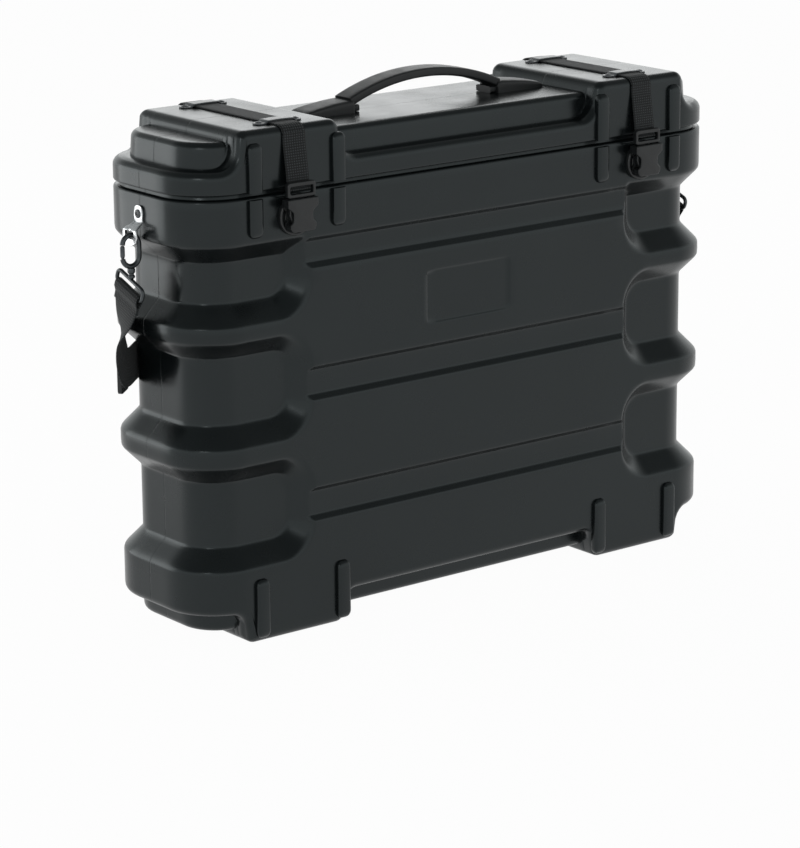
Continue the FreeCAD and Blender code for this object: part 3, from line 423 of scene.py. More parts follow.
# round the flange's lower edge, from the inside out
edge_rows = [ring(s, inset, z) for inset, z in (
    (4.2, 428.9), (3.2, 428.5), (1.6, 428.5), (0.5, 429), (0.1, 429.7))]
rows = np.stack(inner_rows[::-1] + edge_rows + outer_rows)
lid = [outward(rows.reshape(-1, 3), grid_faces(*rows.shape[:2]))]
lid += [stiffener(x, side, 428.6, 473.5, "low") for x, side in rib_places]
piece("lid_cover", lid, shell_plastic, "lid", ["lid_shell"])


# Foam lining: blocks of charcoal closed-cell foam, cut and glued in; a base pad, a panel before
# and behind the screen, a block at each end and a pad under the lid.

# a matt dark grey with fine pores, which takes no highlight
foam_cut, tree, surface = new_finish("charcoal closed-cell foam", Roughness=0.95, Specular_IOR_Level=0.15)
coords = add(tree, "TexCoord").outputs["Object"]
tree.links.new(mottled(tree, coords, 6.25, "#232426", "#303234"), surface.inputs["Base Color"])
cells = add(tree, "TexVoronoi", {"Vector": coords, "Scale": 1000 / 1.33}).outputs["Distance"]
pores = add(tree, "Bump", {"Height": cells, "Strength": 0.7, "Distance": 0.0006})
tree.links.new(pores.outputs[0], surface.inputs["Normal"])


def foam_block(low, high):
    """Cut block with softened edges: rows of a rounded rectangle from the lower face to the upper.

    At turn t a row's corners have the radius soft cos t, and its height is soft sin t past the
    start of the rounding; both faces close flat to their middle."""
    middle, half = (low + high) / 2, (high - low) / 2
    soft = min(4, half.min() / 2)
    turn = np.linspace(0, 2 * np.pi, 64, endpoint=False) + np.pi / 64
    t = np.radians(np.linspace(-90, 90, 12))[:, None]
    x = np.sign(np.cos(turn)) * (half[0] - soft) + soft * np.cos(t) * np.cos(turn)
    y = np.sign(np.sin(turn)) * (half[1] - soft) + soft * np.cos(t) * np.sin(turn)
    z = np.sign(t) * (half[2] - soft) + soft * np.sin(t)
    return skin(np.stack(np.broadcast_arrays(x, y, z), -1) + middle)


for node in ("foam_base", "foam_front", "foam_rear", "foam_end_left", "foam_end_right", "foam_lid"):
    body = "lid" if node == "foam_lid" else "case"
    low, high = [np.array(corner) * 1000 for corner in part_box(node)]
    pad = piece(node + "_pad", [foam_block(low, high)], foam_cut, body, [node], crease=60)


# Carrying handle: an arched grip of soft black vinyl over a steel core, its ends held down by two
# moulded caps that are screwed to the lid from inside.
def superellipse(count, power):
    """Unit outline (cos t, sin t), each raised to a power below one, so its corners fill out."""
    t = np.linspace(0, 2 * np.pi, count, endpoint=False) + np.pi / count
    x, y = np.cos(t), np.sin(t)
    return np.sign(x) * np.abs(x) ** power, np.sign(y) * np.abs(y) ** power


# a black a shade paler than the shell, with a leathery pebble that breaks up its highlight
grip_vinyl, tree, surface = new_finish("soft black vinyl", Specular_IOR_Level=0.4)
coords = add(tree, "TexCoord").outputs["Object"]
tree.links.new(mottled(tree, coords, 33.3, "#151617", "#1c1e1f"), surface.inputs["Base Color"])
smear = add(tree, "TexNoise", {"Vector": coords, "Scale": 1000 / 16.7, "Detail": 3.0}).outputs["Fac"]
roughened(tree, surface, smear, 0.38, 0.48)
pebble = add(tree, "TexVoronoi", {"Vector": coords, "Scale": 1000 / 0.714}).outputs["Distance"]
leathery = add(tree, "Bump", {"Height": pebble, "Strength": 0.3, "Distance": 0.0002})
tree.links.new(leathery.outputs[0], surface.inputs["Normal"])

# the grip's centre line is an arc about a point inside the case, so many degrees to each side
arch_radius, arch_middle, arch_end = 224.25, 278.75, 23.8
grip_half_wide, grip_half_thick = 12.6, 4.5
across, thick = superellipse(44, 0.32)
sweep = np.radians(np.linspace(-arch_end, arch_end, 65))[:, None]
radius = arch_radius + grip_half_thick * thick
arch = np.stack(np.broadcast_arrays(radius * np.sin(sweep), grip_half_wide * across,
                                    arch_middle + radius * np.cos(sweep)), -1)
grip = [skin(arch)]
# a small flat toe on the slab joins each end of the grip to its cap
toe_half_wide, toe_half_thick, toe_middle = 11, 3.3, 477.4
for side in (-1, 1):
    x = np.linspace(80.5, 91.5, 5)[:, None]
    grip.append(skin(np.stack(np.broadcast_arrays(side * x, toe_half_wide * across,
                                                  toe_middle + toe_half_thick * thick), -1)))
piece("grip", grip, grip_vinyl, "lid", ["handle_grip"])


def handle_cap(side):
    """Wedge that rises towards the grip: rings across the case, as wide and high as the curves say.

    A ring is a filled-out oval on the slab; the end rings shrink a little to soften the rims."""
    x = np.concatenate(([146, 145.6, 144.5, 143], np.linspace(140, 92, 14), [90, 89, 88.3, 88]))
    height = np.interp(x, [88, 97, 110, 130, 140, 146], [12, 11.8, 10.8, 8.2, 6.2, 3.6])
    soft = np.interp(x, [88, 88.3, 90, 141, 145, 146], [0.86, 0.95, 1, 1, 0.95, 0.84])
    half_wide = 15
    y, z = superellipse(44, 0.3)
    rise = (height * soft)[:, None] * np.maximum(z, -0.02)
    return skin(np.stack(np.broadcast_arrays(side * x[:, None], half_wide * soft[:, None] * y,
                                             slab_top + rise), -1))


for side, hand in ((-1, "left"), (1, "right")):
    cap = piece("grip_cap_" + hand, [handle_cap(side)], grip_vinyl, "lid", ["handle_cap_" + hand])


# Lid straps: flat black webbing that runs over each tower under two saddle plates, down the back
# to form the hinge and down the front to the buckle.

# crossing yarns stand up as small knots with a faint sheen; they are drawn about twice as coarse as
# real ones, so that they show. The black yarn is painted paler on the knots and darker in the gaps:
# a painted highlight on each crest and painted shade between the yarns
webbing, tree, surface = new_finish("black nylon webbing", Roughness=0.72, Specular_IOR_Level=0.3,
                                    Sheen_Weight=0.12, Sheen_Roughness=0.5)
weave = add(tree, "Attribute", attribute_name="weave").outputs["Vector"]
place = add(tree, "SeparateXYZ", {"Vector": weave})
yarns = []
for socket, pitch in (("X", 2.6), ("Y", 2.4)):
    turn = add(tree, "Math", {0: place.outputs[socket], 1: 2 * np.pi / pitch}, operation="MULTIPLY")
    wave = add(tree, "Math", {0: turn.outputs[0]}, operation="COSINE")
    crest = add(tree, "MapRange", {"Value": wave.outputs[0], "From Min": -1, "From Max": 1})
    yarns.append(crest.outputs["Result"])
knot = add(tree, "Math", {0: yarns[0], 1: yarns[1]}, operation="MULTIPLY").outputs[0]
# painted highlight on the knots' crests and painted shade in the gaps, over one black yarn
knot_light_and_shade = add(tree, "ValToRGB", {"Fac": knot})
knot_light_and_shade.color_ramp.elements[0].position = 0.15
knot_light_and_shade.color_ramp.elements[0].color = linear("#0a0c0d")
knot_light_and_shade.color_ramp.elements[1].position = 0.75
knot_light_and_shade.color_ramp.elements[1].color = linear("#363a3c")
tree.links.new(knot_light_and_shade.outputs["Color"], surface.inputs["Base Color"])
raised = add(tree, "Bump", {"Height": knot, "Strength": 0.7, "Distance": 0.0006})
tree.links.new(raised.outputs[0], surface.inputs["Normal"])


def eased(corners, radii, steps=9):
    """Line through corners with each inner one turned on an arc of its radius.

    The arc's middle lies on the bisector, the radius over the sine of half the angle from the corner."""
    corners = np.array(corners, float)
    line = [corners[:1]]
    for here, back, ahead, radius in zip(corners[1:-1], corners[:-2], corners[2:], radii):
        a, b = (back - here) / np.linalg.norm(back - here), (ahead - here) / np.linalg.norm(ahead - here)
        half = np.arccos(np.clip(a @ b, -1, 1)) / 2
        middle = here + (a + b) / np.linalg.norm(a + b) * radius / np.sin(half)
        first, last = here + a * radius / np.tan(half) - middle, here + b * radius / np.tan(half) - middle
        w = np.linspace(0, 1, steps)[:, None]
        whole = np.pi - 2 * half
        line.append(middle + (np.sin((1 - w) * whole) * first + np.sin(w * whole) * last) / np.sin(whole))
    return np.concatenate(line + [corners[-1:]])


def refined(line, step):
    """Points every step along a line, with their distances from its start."""
    length = np.concatenate(([0], np.cumsum(np.linalg.norm(np.diff(line, axis=0), axis=1))))
    at = np.linspace(0, length[-1], max(int(length[-1] / step), 4) + 1)
    return np.stack([np.interp(at, length, line[:, k]) for k in range(line.shape[1])], -1), at


def band(line, wide, width, thickness):
    """Flat band along a line: at each point a filled-out oval, as wide and thick as given.

    Returns the closed surface and the weave's place (across, along) of every point, in mm."""
    at = np.concatenate(([0], np.cumsum(np.linalg.norm(np.diff(line, axis=0), axis=1))))
    run = np.gradient(line, axis=0)
    run /= np.linalg.norm(run, axis=1)[:, None]
    wide = np.broadcast_to(wide, line.shape)
    wide = wide - run * np.sum(wide * run, 1)[:, None]
    wide = wide / np.linalg.norm(wide, axis=1)[:, None]
    face = np.cross(run, wide)
    a, b = superellipse(20, 0.3)
    aside, deep = a[:, None] * width / 2, b[:, None] * thickness / 2
    rings = line[:, None] + wide[:, None] * aside + face[:, None] * deep
    weave = np.stack(np.broadcast_arrays(a * width / 2, at[:, None]), -1).reshape(-1, 2)
    return skin(rings), np.concatenate((weave, [[0, 0], [0, at[-1]]]))


def woven(name, bands, body, nodes):
    """Piece of webbing with its weave map; a piece with no body is left unattached."""
    obj = piece(name, [surface for surface, weave in bands], webbing, body, nodes,
                weave=np.concatenate([weave for surface, weave in bands]))
    return obj


strap_x, lid_band = 212, {"width": 25, "thickness": 1.8}
for side, hand in ((-1, "left"), (1, "right")):
    x = side * strap_x
    over = eased([(x, 85.1, 440), (x, 84.6, 486), (x, -84.6, 486), (x, -84.6, 478)], [9, 9])
    line, _ = refined(over, 3)
    woven("webbing_over_" + hand, [band(line, (1, 0, 0), **lid_band)], "lid", ["strap_over_" + hand])
    drop = eased([(x, -84.6, 479), (x, -84.9, 470), (x, -90.1, 437), (x, -90.2, 431.5), (x, -93.2, 427.2)],
                 [14, 14, 2.5])
    line, _ = refined(drop, 2)
    fall = woven("webbing_front_" + hand, [band(line, (1, 0, 0), **lid_band)], "lid",
                 ["strap_front_" + hand])
    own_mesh(fall)
    line, _ = refined(eased([(x, 89.1, 383.5), (x, 89.1, 424), (x, 85.1, 440)], [30]), 2)
    hinge = woven("webbing_hinge_" + hand, [band(line, (1, 0, 0), **lid_band)], None,
                  ["strap_hinge_" + hand])
    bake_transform(hinge)


# Saddle plates: pressed steel bridges, painted black, that hold the webbing down on the towers;
# each has rounded ends and two pan-head screws.

# black paint drawn dark grey, a painted reflection of the bright surround overhead, with a soft gloss
# and a fine orange peel
painted_steel, tree, surface = new_finish("black painted steel", Metallic=0.0, Specular_IOR_Level=0.6,
                                          Coat_Weight=0.25, Coat_Roughness=0.25)
coords = add(tree, "TexCoord").outputs["Object"]
# grey where the paint is black: a painted reflection of the sky, on the plates and every screw head alike
tree.links.new(mottled(tree, coords, 14.3, "#3a3d40", "#494d50"), surface.inputs["Base Color"])
speckle = add(tree, "TexNoise", {"Vector": coords, "Scale": 1000 / 1.43, "Detail": 2.0}).outputs["Fac"]
roughened(tree, surface, speckle, 0.28, 0.42)
orange = add(tree, "Bump", {"Height": speckle, "Strength": 0.2, "Distance": 0.0001})
tree.links.new(orange.outputs[0], surface.inputs["Normal"])


def saddle_plate(x, y):
    """Bridge along X: a strip with half-round ends, raised over the webbing by an S-curve of its length.

    A ring across it is a filled-out oval, as wide as the strip and 1.5 mm thick."""
    half_long, half_wide = 26, 6.5
    end = half_wide * np.linspace(0, 1, 8) ** 2
    t = np.concatenate((end - half_long, np.linspace(-19, 19, 39), half_long - end[::-1]))
    past = np.clip(np.abs(t) - (half_long - half_wide), 0, half_wide)
    half = half_wide * np.sqrt(np.clip(1 - (past / half_wide) ** 2, 0.003, 1))
    lift = np.clip((17.3 - np.abs(t)) / 3.6, 0, 1)
    lift = 2.1 * lift * lift * (3 - 2 * lift) + 0.35 * np.clip(1 - (t / 14) ** 2, 0, 1)
    a, b = superellipse(20, 0.35)
    return skin(np.stack(np.broadcast_arrays(x + t[:, None], y + half[:, None] * a,
                                             tower_top + 0.8 + lift[:, None] + 0.75 * b), -1))


def screw_head(centre, axis, radius, rise):
    """Domed head on a face: a disc of rows from rim to middle, with a cross-shaped driver recess.

    Height is rise times (1 - r^2.6), less the recess where either arm of the cross is near."""
    axis = np.array(axis, float)
    u = np.cross(axis, (0.31, 0.87, 0.38))
    u /= np.linalg.norm(u)
    v = np.cross(axis, u)
    r = np.concatenate(([1, 1], np.linspace(0.98, 0.02, 16)))[:, None]
    t = np.linspace(0, 2 * np.pi, 48, endpoint=False)
    a, b = r * np.cos(t), r * np.sin(t)
    arm = np.minimum(np.maximum(np.abs(a) - 0.5, np.abs(b) - 0.1),
                     np.maximum(np.abs(b) - 0.5, np.abs(a) - 0.1))
    height = rise * (0.35 + 0.65 * (1 - r ** 2.6)) - 0.55 * rise * np.clip(0.5 - arm / 0.08, 0, 1)
    height[0] = -0.2
    flat = radius * (a[..., None] * u + b[..., None] * v)
    return skin(np.array(centre, float) + flat + height[..., None] * axis)


saddle_y = 59
heads = []
for side, hand in ((-1, "left"), (1, "right")):
    for deep, name in ((-1, "front"), (1, "rear")):
        x, y = side * strap_x, deep * saddle_y
        plate = piece("bridge_%s_%s" % (name, hand), [saddle_plate(x, y)], painted_steel, "lid",
                      ["saddle_plate_%s_%s" % (name, hand)])
        heads += [screw_head((x + step, y, tower_top + 1.5), axis=(0, 0, 1), radius=3.4, rise=1.3)
                  for step in (-20.5, 20.5)]
piece("bridge_screws", heads, painted_steel, "lid", ["saddle_screws"])


# Anchors: round moulded pads riveted to the rim band, in front behind each buckle and at the back
# under the webbing, which a large screw holds there.

# a plain satin black that catches small soft highlights
acetal, tree, surface = new_finish("black acetal", Specular_IOR_Level=0.45)
coords = add(tree, "TexCoord").outputs["Object"]
tree.links.new(mottled(tree, coords, 8.33, "#161819", "#1e2021"), surface.inputs["Base Color"])
satin = add(tree, "TexNoise", {"Vector": coords, "Scale": 1000 / 3.33, "Detail": 3.0}).outputs["Fac"]
roughened(tree, surface, satin, 0.3, 0.4)
moulded = add(tree, "Bump", {"Height": satin, "Strength": 0.2, "Distance": 0.0001})
tree.links.new(moulded.outputs[0], surface.inputs["Normal"])


def turned(profile, count, centre, side):
    """Round piece on an axis along Y: (radius, distance out) points of the profile, turned."""
    profile = np.array(profile, float)
    t = np.linspace(0, 2 * np.pi, count, endpoint=False)
    r, out = profile[:, :1], profile[:, 1:]
    return skin(np.stack(np.broadcast_arrays(centre[0] + r * np.cos(t), side * (half_depth + out),
                                             centre[1] + r * np.sin(t)), -1))


anchor_z = 402
pad_profile = [(18.3, -0.3), (18.5, 0.6), (18.5, 3.2), (18.1, 4.1), (17.2, 4.6), (16.2, 4.6), (15.6, 4.2),
               (15.2, 3.6), (12.5, 3.5), (12, 3.9), (11.6, 4.6), (9, 4.7), (0.4, 4.7)]
for side, hand in ((-1, "left"), (1, "right")):
    for deep, name in ((-1, "front"), (1, "rear")):
        shape = turned(pad_profile, 56, (side * strap_x, anchor_z), deep)
        pad = piece("anchor_pad_%s_%s" % (name, hand), [shape], acetal, "case",
                    ["anchor_%s_%s" % (name, hand)])
heads = [screw_head((x, 90, anchor_z), axis=(0, 1, 0), radius=6, rise=2.5) for x in (-strap_x, strap_x)]
piece("anchor_heads", heads, painted_steel, "case", ["anchor_screws"])


# Side-release buckles: a waisted socket on each front anchor, open at the sides, and a plug with two
# springy prongs on the end of each strap; all moulded in acetal.
def bevelled(corners, radii, y_low, y_high, low_edge, high_edge):
    """Plate with a rounded outline (x, z) between two depths; each rim is rounded by its own radius.

    A row is the outline drawn in along its own normals by edge (1 - cos t) at depth edge (1 - sin t)."""
    loop = np.array([corners[-1]] + corners + [corners[0]], float)
    line = eased(loop, radii, steps=5)[1:-1]
    tangent = np.roll(line, -1, 0) - np.roll(line, 1, 0)
    normal = np.stack((tangent[:, 1], -tangent[:, 0]), -1) / np.linalg.norm(tangent, axis=1)[:, None]
    area = np.sum(line[:, 0] * np.roll(line[:, 1], -1) - np.roll(line[:, 0], -1) * line[:, 1])
    normal *= np.sign(area)
    rows = []
    for depth, edge, out in ((y_low, low_edge, 1), (y_high, high_edge, -1)):
        some = []
        for t in np.radians([90, 68, 45, 22, 0]):
            spot = line - normal * edge * (1 - np.cos(t))
            level = np.full(len(spot), depth + out * edge * (1 - np.sin(t)))
            some.append(np.stack((spot[:, 0], level, spot[:, 1]), -1))
        rows += some if out > 0 else some[::-1]
    return skin(np.stack(rows))


def closed_loop(rings):
    """Closed surface through rings that follow one another round a loop, the last beside the first."""
    rows, columns = rings.shape[:2]
    faces = grid_faces(rows + 1, columns) % (rows * columns)
    return outward(rings.reshape(-1, 3), faces)


def window_frame(outer, inner, depths, edge):
    """Closed loop of moulding between two outlines (a, b) of equally many points, as rings of the loop.

    Each ring is a filled-out oval that spans from the inner to the outer outline and over the depths."""
    a, b = superellipse(16, edge)
    share = (0.5 + 0.5 * a)[None, :, None]
    spot = inner[:, None] + (outer - inner)[:, None] * share
    depth = np.broadcast_to((depths[0] + depths[1]) / 2 + (depths[1] - depths[0]) / 2 * b, spot.shape[:2])
    return closed_loop(np.stack((spot[..., 0], depth, spot[..., 1]), -1))


def rounded_rectangle(x, z, half_x, half_z, radius, count=72):
    """Even points round a rectangle with corners of the radius, from the middle of its right side."""
    left, right, low, high = x - half_x, x + half_x, z - half_z, z + half_z
    corners = [(right, z), (right, high), (left, high), (left, low), (right, low), (right, z)]
    line = eased(corners, [radius] * 4, steps=7)
    length = np.concatenate(([0], np.cumsum(np.linalg.norm(np.diff(line, axis=0), axis=1))))
    at = np.linspace(0, length[-1], count, endpoint=False)
    return np.stack((np.interp(at, length, line[:, 0]), np.interp(at, length, line[:, 1])), -1)


for side, hand in ((-1, "left"), (1, "right")):
    x = side * strap_x
    radii = [1.5, 3, 3.5, 3.5, 3, 3, 3]
    plates = []
    for waist, depths, rims in ((10.8, (-99.2, -97.2), (1.4, 0.02)), (13, (-90.6, -88.2), (0.02, 0.8))):
        half = [(17, 420), (17, 412), (waist, 407.5), (waist, 400), (14.5, 396.5), (14.5, 393), (12.5, 389)]
        corners = [(x + a, z) for a, z in half] + [(x - a, z) for a, z in half[::-1]]
        plates.append(bevelled(corners, radii + radii[::-1], *depths, *rims))
    for sign in (-1, 1):
        cheek = [(x + sign * a, z) for a, z in ((17, 419.9), (17, 412.4), (14.2, 410.6), (13.7, 419.9))]
        plates.append(bevelled(cheek, [1, 1, 0.6, 0.6], -97.6, -90.2, 0.02, 0.02))
    toe = [(x + a, z) for a, z in (
        (14.5, 396), (14.5, 393), (12.5, 389), (-12.5, 389), (-14.5, 393), (-14.5, 396))]
    plates.append(bevelled(toe, [1, 2.5, 2.5, 2.5, 2.5, 1], -97.6, -90.2, 0.02, 0.02))
    piece("socket_" + hand, plates, acetal, "case", ["buckle_socket_" + hand])
    frame_loop = window_frame(rounded_rectangle(x, 427.65, 15.75, 7.25, 2.5),
                              rounded_rectangle(x, 427.5, 13, 3.5, 1.2), (-96.3, -91.3), 0.4)
    piece("plug_" + hand, [frame_loop], acetal, "latch_" + hand, ["buckle_plug_" + hand])
    for name, lean in (("outer", side), ("inner", -side)):
        shape = [(11.6, 420), (13.2, 405), (10, 397.4), (7, 397.4), (8.4, 405), (7, 420)]
        prong = bevelled([(x + lean * a, z) for a, z in shape], [0.4, 3, 1.4, 1.2, 6, 0.4],
                         -95.3, -91.3, 0.9, 0.9)
        piece("prong_%s_%s_arm" % (name, hand), [prong], acetal, "%s_prong_%s" % (name, hand),
                      ["prong_%s_%s" % (name, hand)])


# Side brackets: bright plated steel, stamped with a round nose and a slot, cranked outward from the
# end wall so that a hook can pass; one screw each.

# a pale metal, lightly scuffed, that mirrors the white surround
bright_steel, tree, surface = new_finish("bright plated steel", Metallic=1.0)
coords = add(tree, "TexCoord").outputs["Object"]
tree.links.new(mottled(tree, coords, 5, "#c9ccce", "#e2e4e5"), surface.inputs["Base Color"])
scuff = add(tree, "TexNoise", {"Vector": coords, "Scale": 1000 / 1.11, "Detail": 3.0}).outputs["Fac"]
roughened(tree, surface, scuff, 0.2, 0.36)
rolled = add(tree, "Bump", {"Height": scuff, "Strength": 0.15, "Distance": 0.0001})
tree.links.new(rolled.outputs[0], surface.inputs["Normal"])


def side_bracket(side):
    """Stamped plate between its slot and its outline, both read round the slot's middle.

    A ring crosses the plate from slot to edge; the plate's distance out from the wall follows an
    S-curve of height, 1.25 mm above and 11.25 mm at the loop."""
    slot_z, bent_out, half_thick = 387.5, 10, 1.25
    slot = rounded_rectangle(0, slot_z, 7, 3.5, 1.5, 120)
    shape = [(4.6, 413), (7, 408.5), (5.6, 398.5), (10.5, 391.5), (9.4, 378.5)]
    loop = shape + [(-a, z) for a, z in shape[::-1]]
    bends = [4.4, 6, 9, 4, 3.5]
    edge = eased([loop[-1]] + loop + [loop[0]], bends + bends[::-1], steps=7)[1:-1] - [0, slot_z]
    angle = np.arctan2(edge[:, 1], edge[:, 0])
    order = np.argsort(angle)
    way = np.arctan2(slot[:, 1] - slot_z, slot[:, 0])
    reach = np.interp(way, angle[order], np.hypot(edge[:, 0], edge[:, 1])[order], period=2 * np.pi)
    outer = np.stack((reach * np.cos(way), slot_z + reach * np.sin(way)), -1)
    lane = np.concatenate((np.linspace(0, 1, 14), np.linspace(1, 0, 14)))
    face = np.concatenate((np.ones(14), -np.ones(14)))
    soft = np.where((lane == 0) | (lane == 1), 0.55, 1)
    spot = slot[:, None] + (outer - slot)[:, None] * lane[None, :, None]
    w = np.clip((spot[..., 1] - 391) / 8, 0, 1)
    out = half_thick + bent_out - bent_out * w * w * (3 - 2 * w) + half_thick * face * soft
    return closed_loop(np.stack((side * (half_length + out), spot[..., 0], spot[..., 1]), -1))


heads = []
for side, hand in ((-1, "left"), (1, "right")):
    hanger = piece("hanger_" + hand, [side_bracket(side)], bright_steel, "case", ["side_bracket_" + hand])
    heads.append(screw_head((side * (half_length + 2.5), 0, 405.5), axis=(side, 0, 0), radius=4.2, rise=1.8))
piece("hanger_screws", heads, painted_steel, "case", ["bracket_screws"])


# Snap hooks: cast zinc with a dark plated finish; an oval hook through the bracket, a sprung gate in
# its outer side, a swivel below it and a wire ring that takes the shoulder strap.

# a dark grey metal with a dull, faintly pitted gloss
dark_zinc, tree, surface = new_finish("dark plated zinc", Metallic=0.85)
coords = add(tree, "TexCoord").outputs["Object"]
tree.links.new(mottled(tree, coords, 6.67, "#3a3d3f", "#54585a"), surface.inputs["Base Color"])
cast = add(tree, "TexNoise", {"Vector": coords, "Scale": 1000 / 1.25, "Detail": 3.0}).outputs["Fac"]
roughened(tree, surface, cast, 0.26, 0.42)
skinned = add(tree, "Bump", {"Height": cast, "Strength": 0.2, "Distance": 0.00015})
tree.links.new(skinned.outputs[0], surface.inputs["Normal"])


def rod(line, radius, closed=False):
    """Rod along a line that lies in one plane: rings of a circle square to the line."""
    line = np.array(line, float)
    run = (np.roll(line, -1, 0) - np.roll(line, 1, 0)) if closed else np.gradient(line, axis=0)
    run /= np.linalg.norm(run, axis=1)[:, None]
    spread = line - line.mean(0)
    side = np.linalg.svd(spread, full_matrices=False)[2][2]
    other = np.cross(run, side)
    t = np.linspace(0, 2 * np.pi, 18, endpoint=False)
    radius = np.broadcast_to(radius, len(line))[:, None, None]
    rings = line[:, None] + radius * (np.cos(t)[:, None] * other[:, None] + np.sin(t)[:, None] * side)
    return closed_loop(rings) if closed else skin(rings)


def spun(profile, count, spot):
    """Round piece on an upright axis: (radius, height) points of the profile, turned about the spot."""
    profile = np.array(profile, float)
    t = np.linspace(0, 2 * np.pi, count, endpoint=False)
    r, z = profile[:, :1], spot[2] + profile[:, 1:]
    return skin(np.stack(np.broadcast_arrays(spot[0] + r * np.cos(t), spot[1] + r * np.sin(t), z), -1))


hook_x, oval_z, oval_round, oval_flat = 336.25, 372.2, 9, 5.5
gate_z, gate_half = 371.7, 6.6
ring_z, tilt = 346.7, np.radians(21)


def slanted(x, across, drop):
    """Point of the ring's own plane: along its bar and below it, leaning back by its tilt."""
    return np.stack(np.broadcast_arrays(x, across * np.cos(tilt) + drop * np.sin(tilt),
                                        ring_z + across * np.sin(tilt) - drop * np.cos(tilt)), -1)


for side, hand in ((-1, "left"), (1, "right")):
    x = side * hook_x
    # the oval's centre line, open where the gate stands in its outer side
    away = np.mod(np.where(side < 0, np.pi, 0) + np.linspace(0.0, 2 * np.pi, 241), 2 * np.pi)
    z = oval_z + oval_flat * np.tanh(np.sin(away) * 9) + oval_round * np.sin(away)
    line = np.stack((x + oval_round * np.cos(away), np.zeros(241), z), -1)
    opening = (np.abs(line[:, 2] - gate_z) < gate_half) & (side * (line[:, 0] - x) > 0)
    start = np.argmax(~opening)
    stop = len(opening) - np.argmax(~opening[::-1])
    piece("hook_" + hand + "_casting", [rod(refined(line[start:stop], 1.2)[0], 2.4)], dark_zinc,
                  "hook_" + hand, ["snap_hook_" + hand])
    width = np.interp(np.linspace(0, 1, 13), [0, 0.08, 0.2, 0.9, 1], [1.1, 1.6, 2.2, 2.2, 1.6])
    lever = spun(np.stack((width, np.linspace(365.7, 377.7, 13)), -1), 18, (x + side * oval_round, 0, 0))
    gate = piece("gate_" + hand + "_lever", [lever], dark_zinc, "gate_" + hand, ["hook_gate_" + hand])
    barrel = [(2.2, 0.8), (3.3, 0.2), (3.6, -0.8), (3.6, -3.4), (3.0, -4.2), (2.4, -4.8), (2.4, -6),
              (3.2, -6.6), (3.4, -7.6), (3.0, -8.8), (1.8, -9.8)]
    piece("swivel_" + hand, [spun(barrel[::-1], 28, (x, 0, 355.7))], dark_zinc, "hook_" + hand,
                  ["hook_swivel_" + hand])
    t = np.linspace(0, 2 * np.pi, 120, endpoint=False) + np.pi / 120
    wire = slanted(x, np.sign(np.cos(t)) * 16.5 + 5 * np.cos(t), 8 - np.sign(np.sin(t)) - 5 * np.sin(t))
    loop = piece("ring_" + hand, [rod(wire, 1.9, closed=True)], dark_zinc, "hook_" + hand,
                 ["strap_ring_" + hand])


# Shoulder strap: one length of broad black webbing. Each end folds round its ring and is sewn to
# itself; between them the strap twists, passes a slide adjuster on the left and hangs behind the case.
strap_wide, strap_thick, fold_thick = 37, 1.8, 1.7
# points of the left half, each with the lean of the band's width from upright and the lean's heading
route = np.array([
    (-336.25, 9.3, 322.4, 69, 0), (-337.5, 14.2, 302, 80, 18), (-338.5, 16.6, 286, 90, 42),
    (-338.5, 17, 275.5, 90, 48), (-336.4, 18.9, 265, 60, 48), (-330.7, 24, 257.3, 30, 48),
    (-322.9, 31, 254.5, 0, 48), (-301.3, 50.4, 254, 0, 48), (-285.7, 64.6, 253, 0, 48),
    (-262, 73, 250, 0, 48), (-228, 87, 243, 0, 48), (-180, 95.8, 222, 0, 48),
    (-140, 98.3, 190, 0, 48), (-100, 98.3, 165, 0, 48), (-50, 98.3, 146.5, 0, 48),
    (0, 98.3, 140, 0, 48)])
route = np.concatenate((route, route[-2::-1] * [-1, 1, 1, 1, -1]))


def smooth_line(points, step):
    """Smooth line through points: a cubic between each pair, with the chord of its neighbours as slope."""
    length = np.concatenate(([0], np.cumsum(np.linalg.norm(np.diff(points[:, :3], axis=0), axis=1))))
    slope = np.gradient(points, length, axis=0)
    at = np.linspace(0, length[-1], int(length[-1] / step) + 1)
    k = np.clip(np.searchsorted(length, at, side="right") - 1, 0, len(length) - 2)
    span = (length[k + 1] - length[k])[:, None]
    w = (at - length[k])[:, None] / span
    return ((2 * w ** 3 - 3 * w ** 2 + 1) * points[k] + (w ** 3 - 2 * w ** 2 + w) * span * slope[k]
            + (3 * w ** 2 - 2 * w ** 3) * points[k + 1] + (w ** 3 - w ** 2) * span * slope[k + 1])


whole = smooth_line(route, 3)
line, lean, heading = whole[:, :3], np.radians(whole[:, 3]), np.radians(whole[:, 4])
wide = np.stack((np.sin(lean) * np.sin(heading), np.sin(lean) * np.cos(heading), np.cos(lean)), -1)
cut = int(np.argmax(line[:, 0] > -250)), len(line) - int(np.argmax(line[::-1, 0] < 250))
for name, part in (("strap_left_run", slice(0, cut[0] + 1)), ("strap_back_run", slice(cut[0], cut[1])),
                   ("strap_right_run", slice(cut[1] - 1, len(line)))):
    body = "case" if "back" in name else None
    run = woven(name, [band(line[part], wide[part], strap_wide, strap_thick)], body, ["shoulder_strap"])
    for side, hand in ((-1, "left"), (1, "right")):
        if hand in name:
            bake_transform(run)
for side, hand in ((-1, "left"), (1, "right")):
    x = side * hook_x
    half = [(0.95, 30), (0.95, 23), (3.4, 17.5), (3.4, 10.2)]
    corners = [(x + a, drop) for a, drop in half] + [(x - a, drop) for a, drop in half[::-1]]
    fold = eased(corners, [5, 3, 3.3, 3.3, 3, 5])
    line, _ = refined(slanted(fold[:, 0], 0, fold[:, 1]), 1.2)
    fold = band(line, (0, np.cos(tilt), np.sin(tilt)), strap_wide, fold_thick)
    woven("strap_fold_" + hand, [fold], "hook_" + hand, ["strap_end_" + hand])

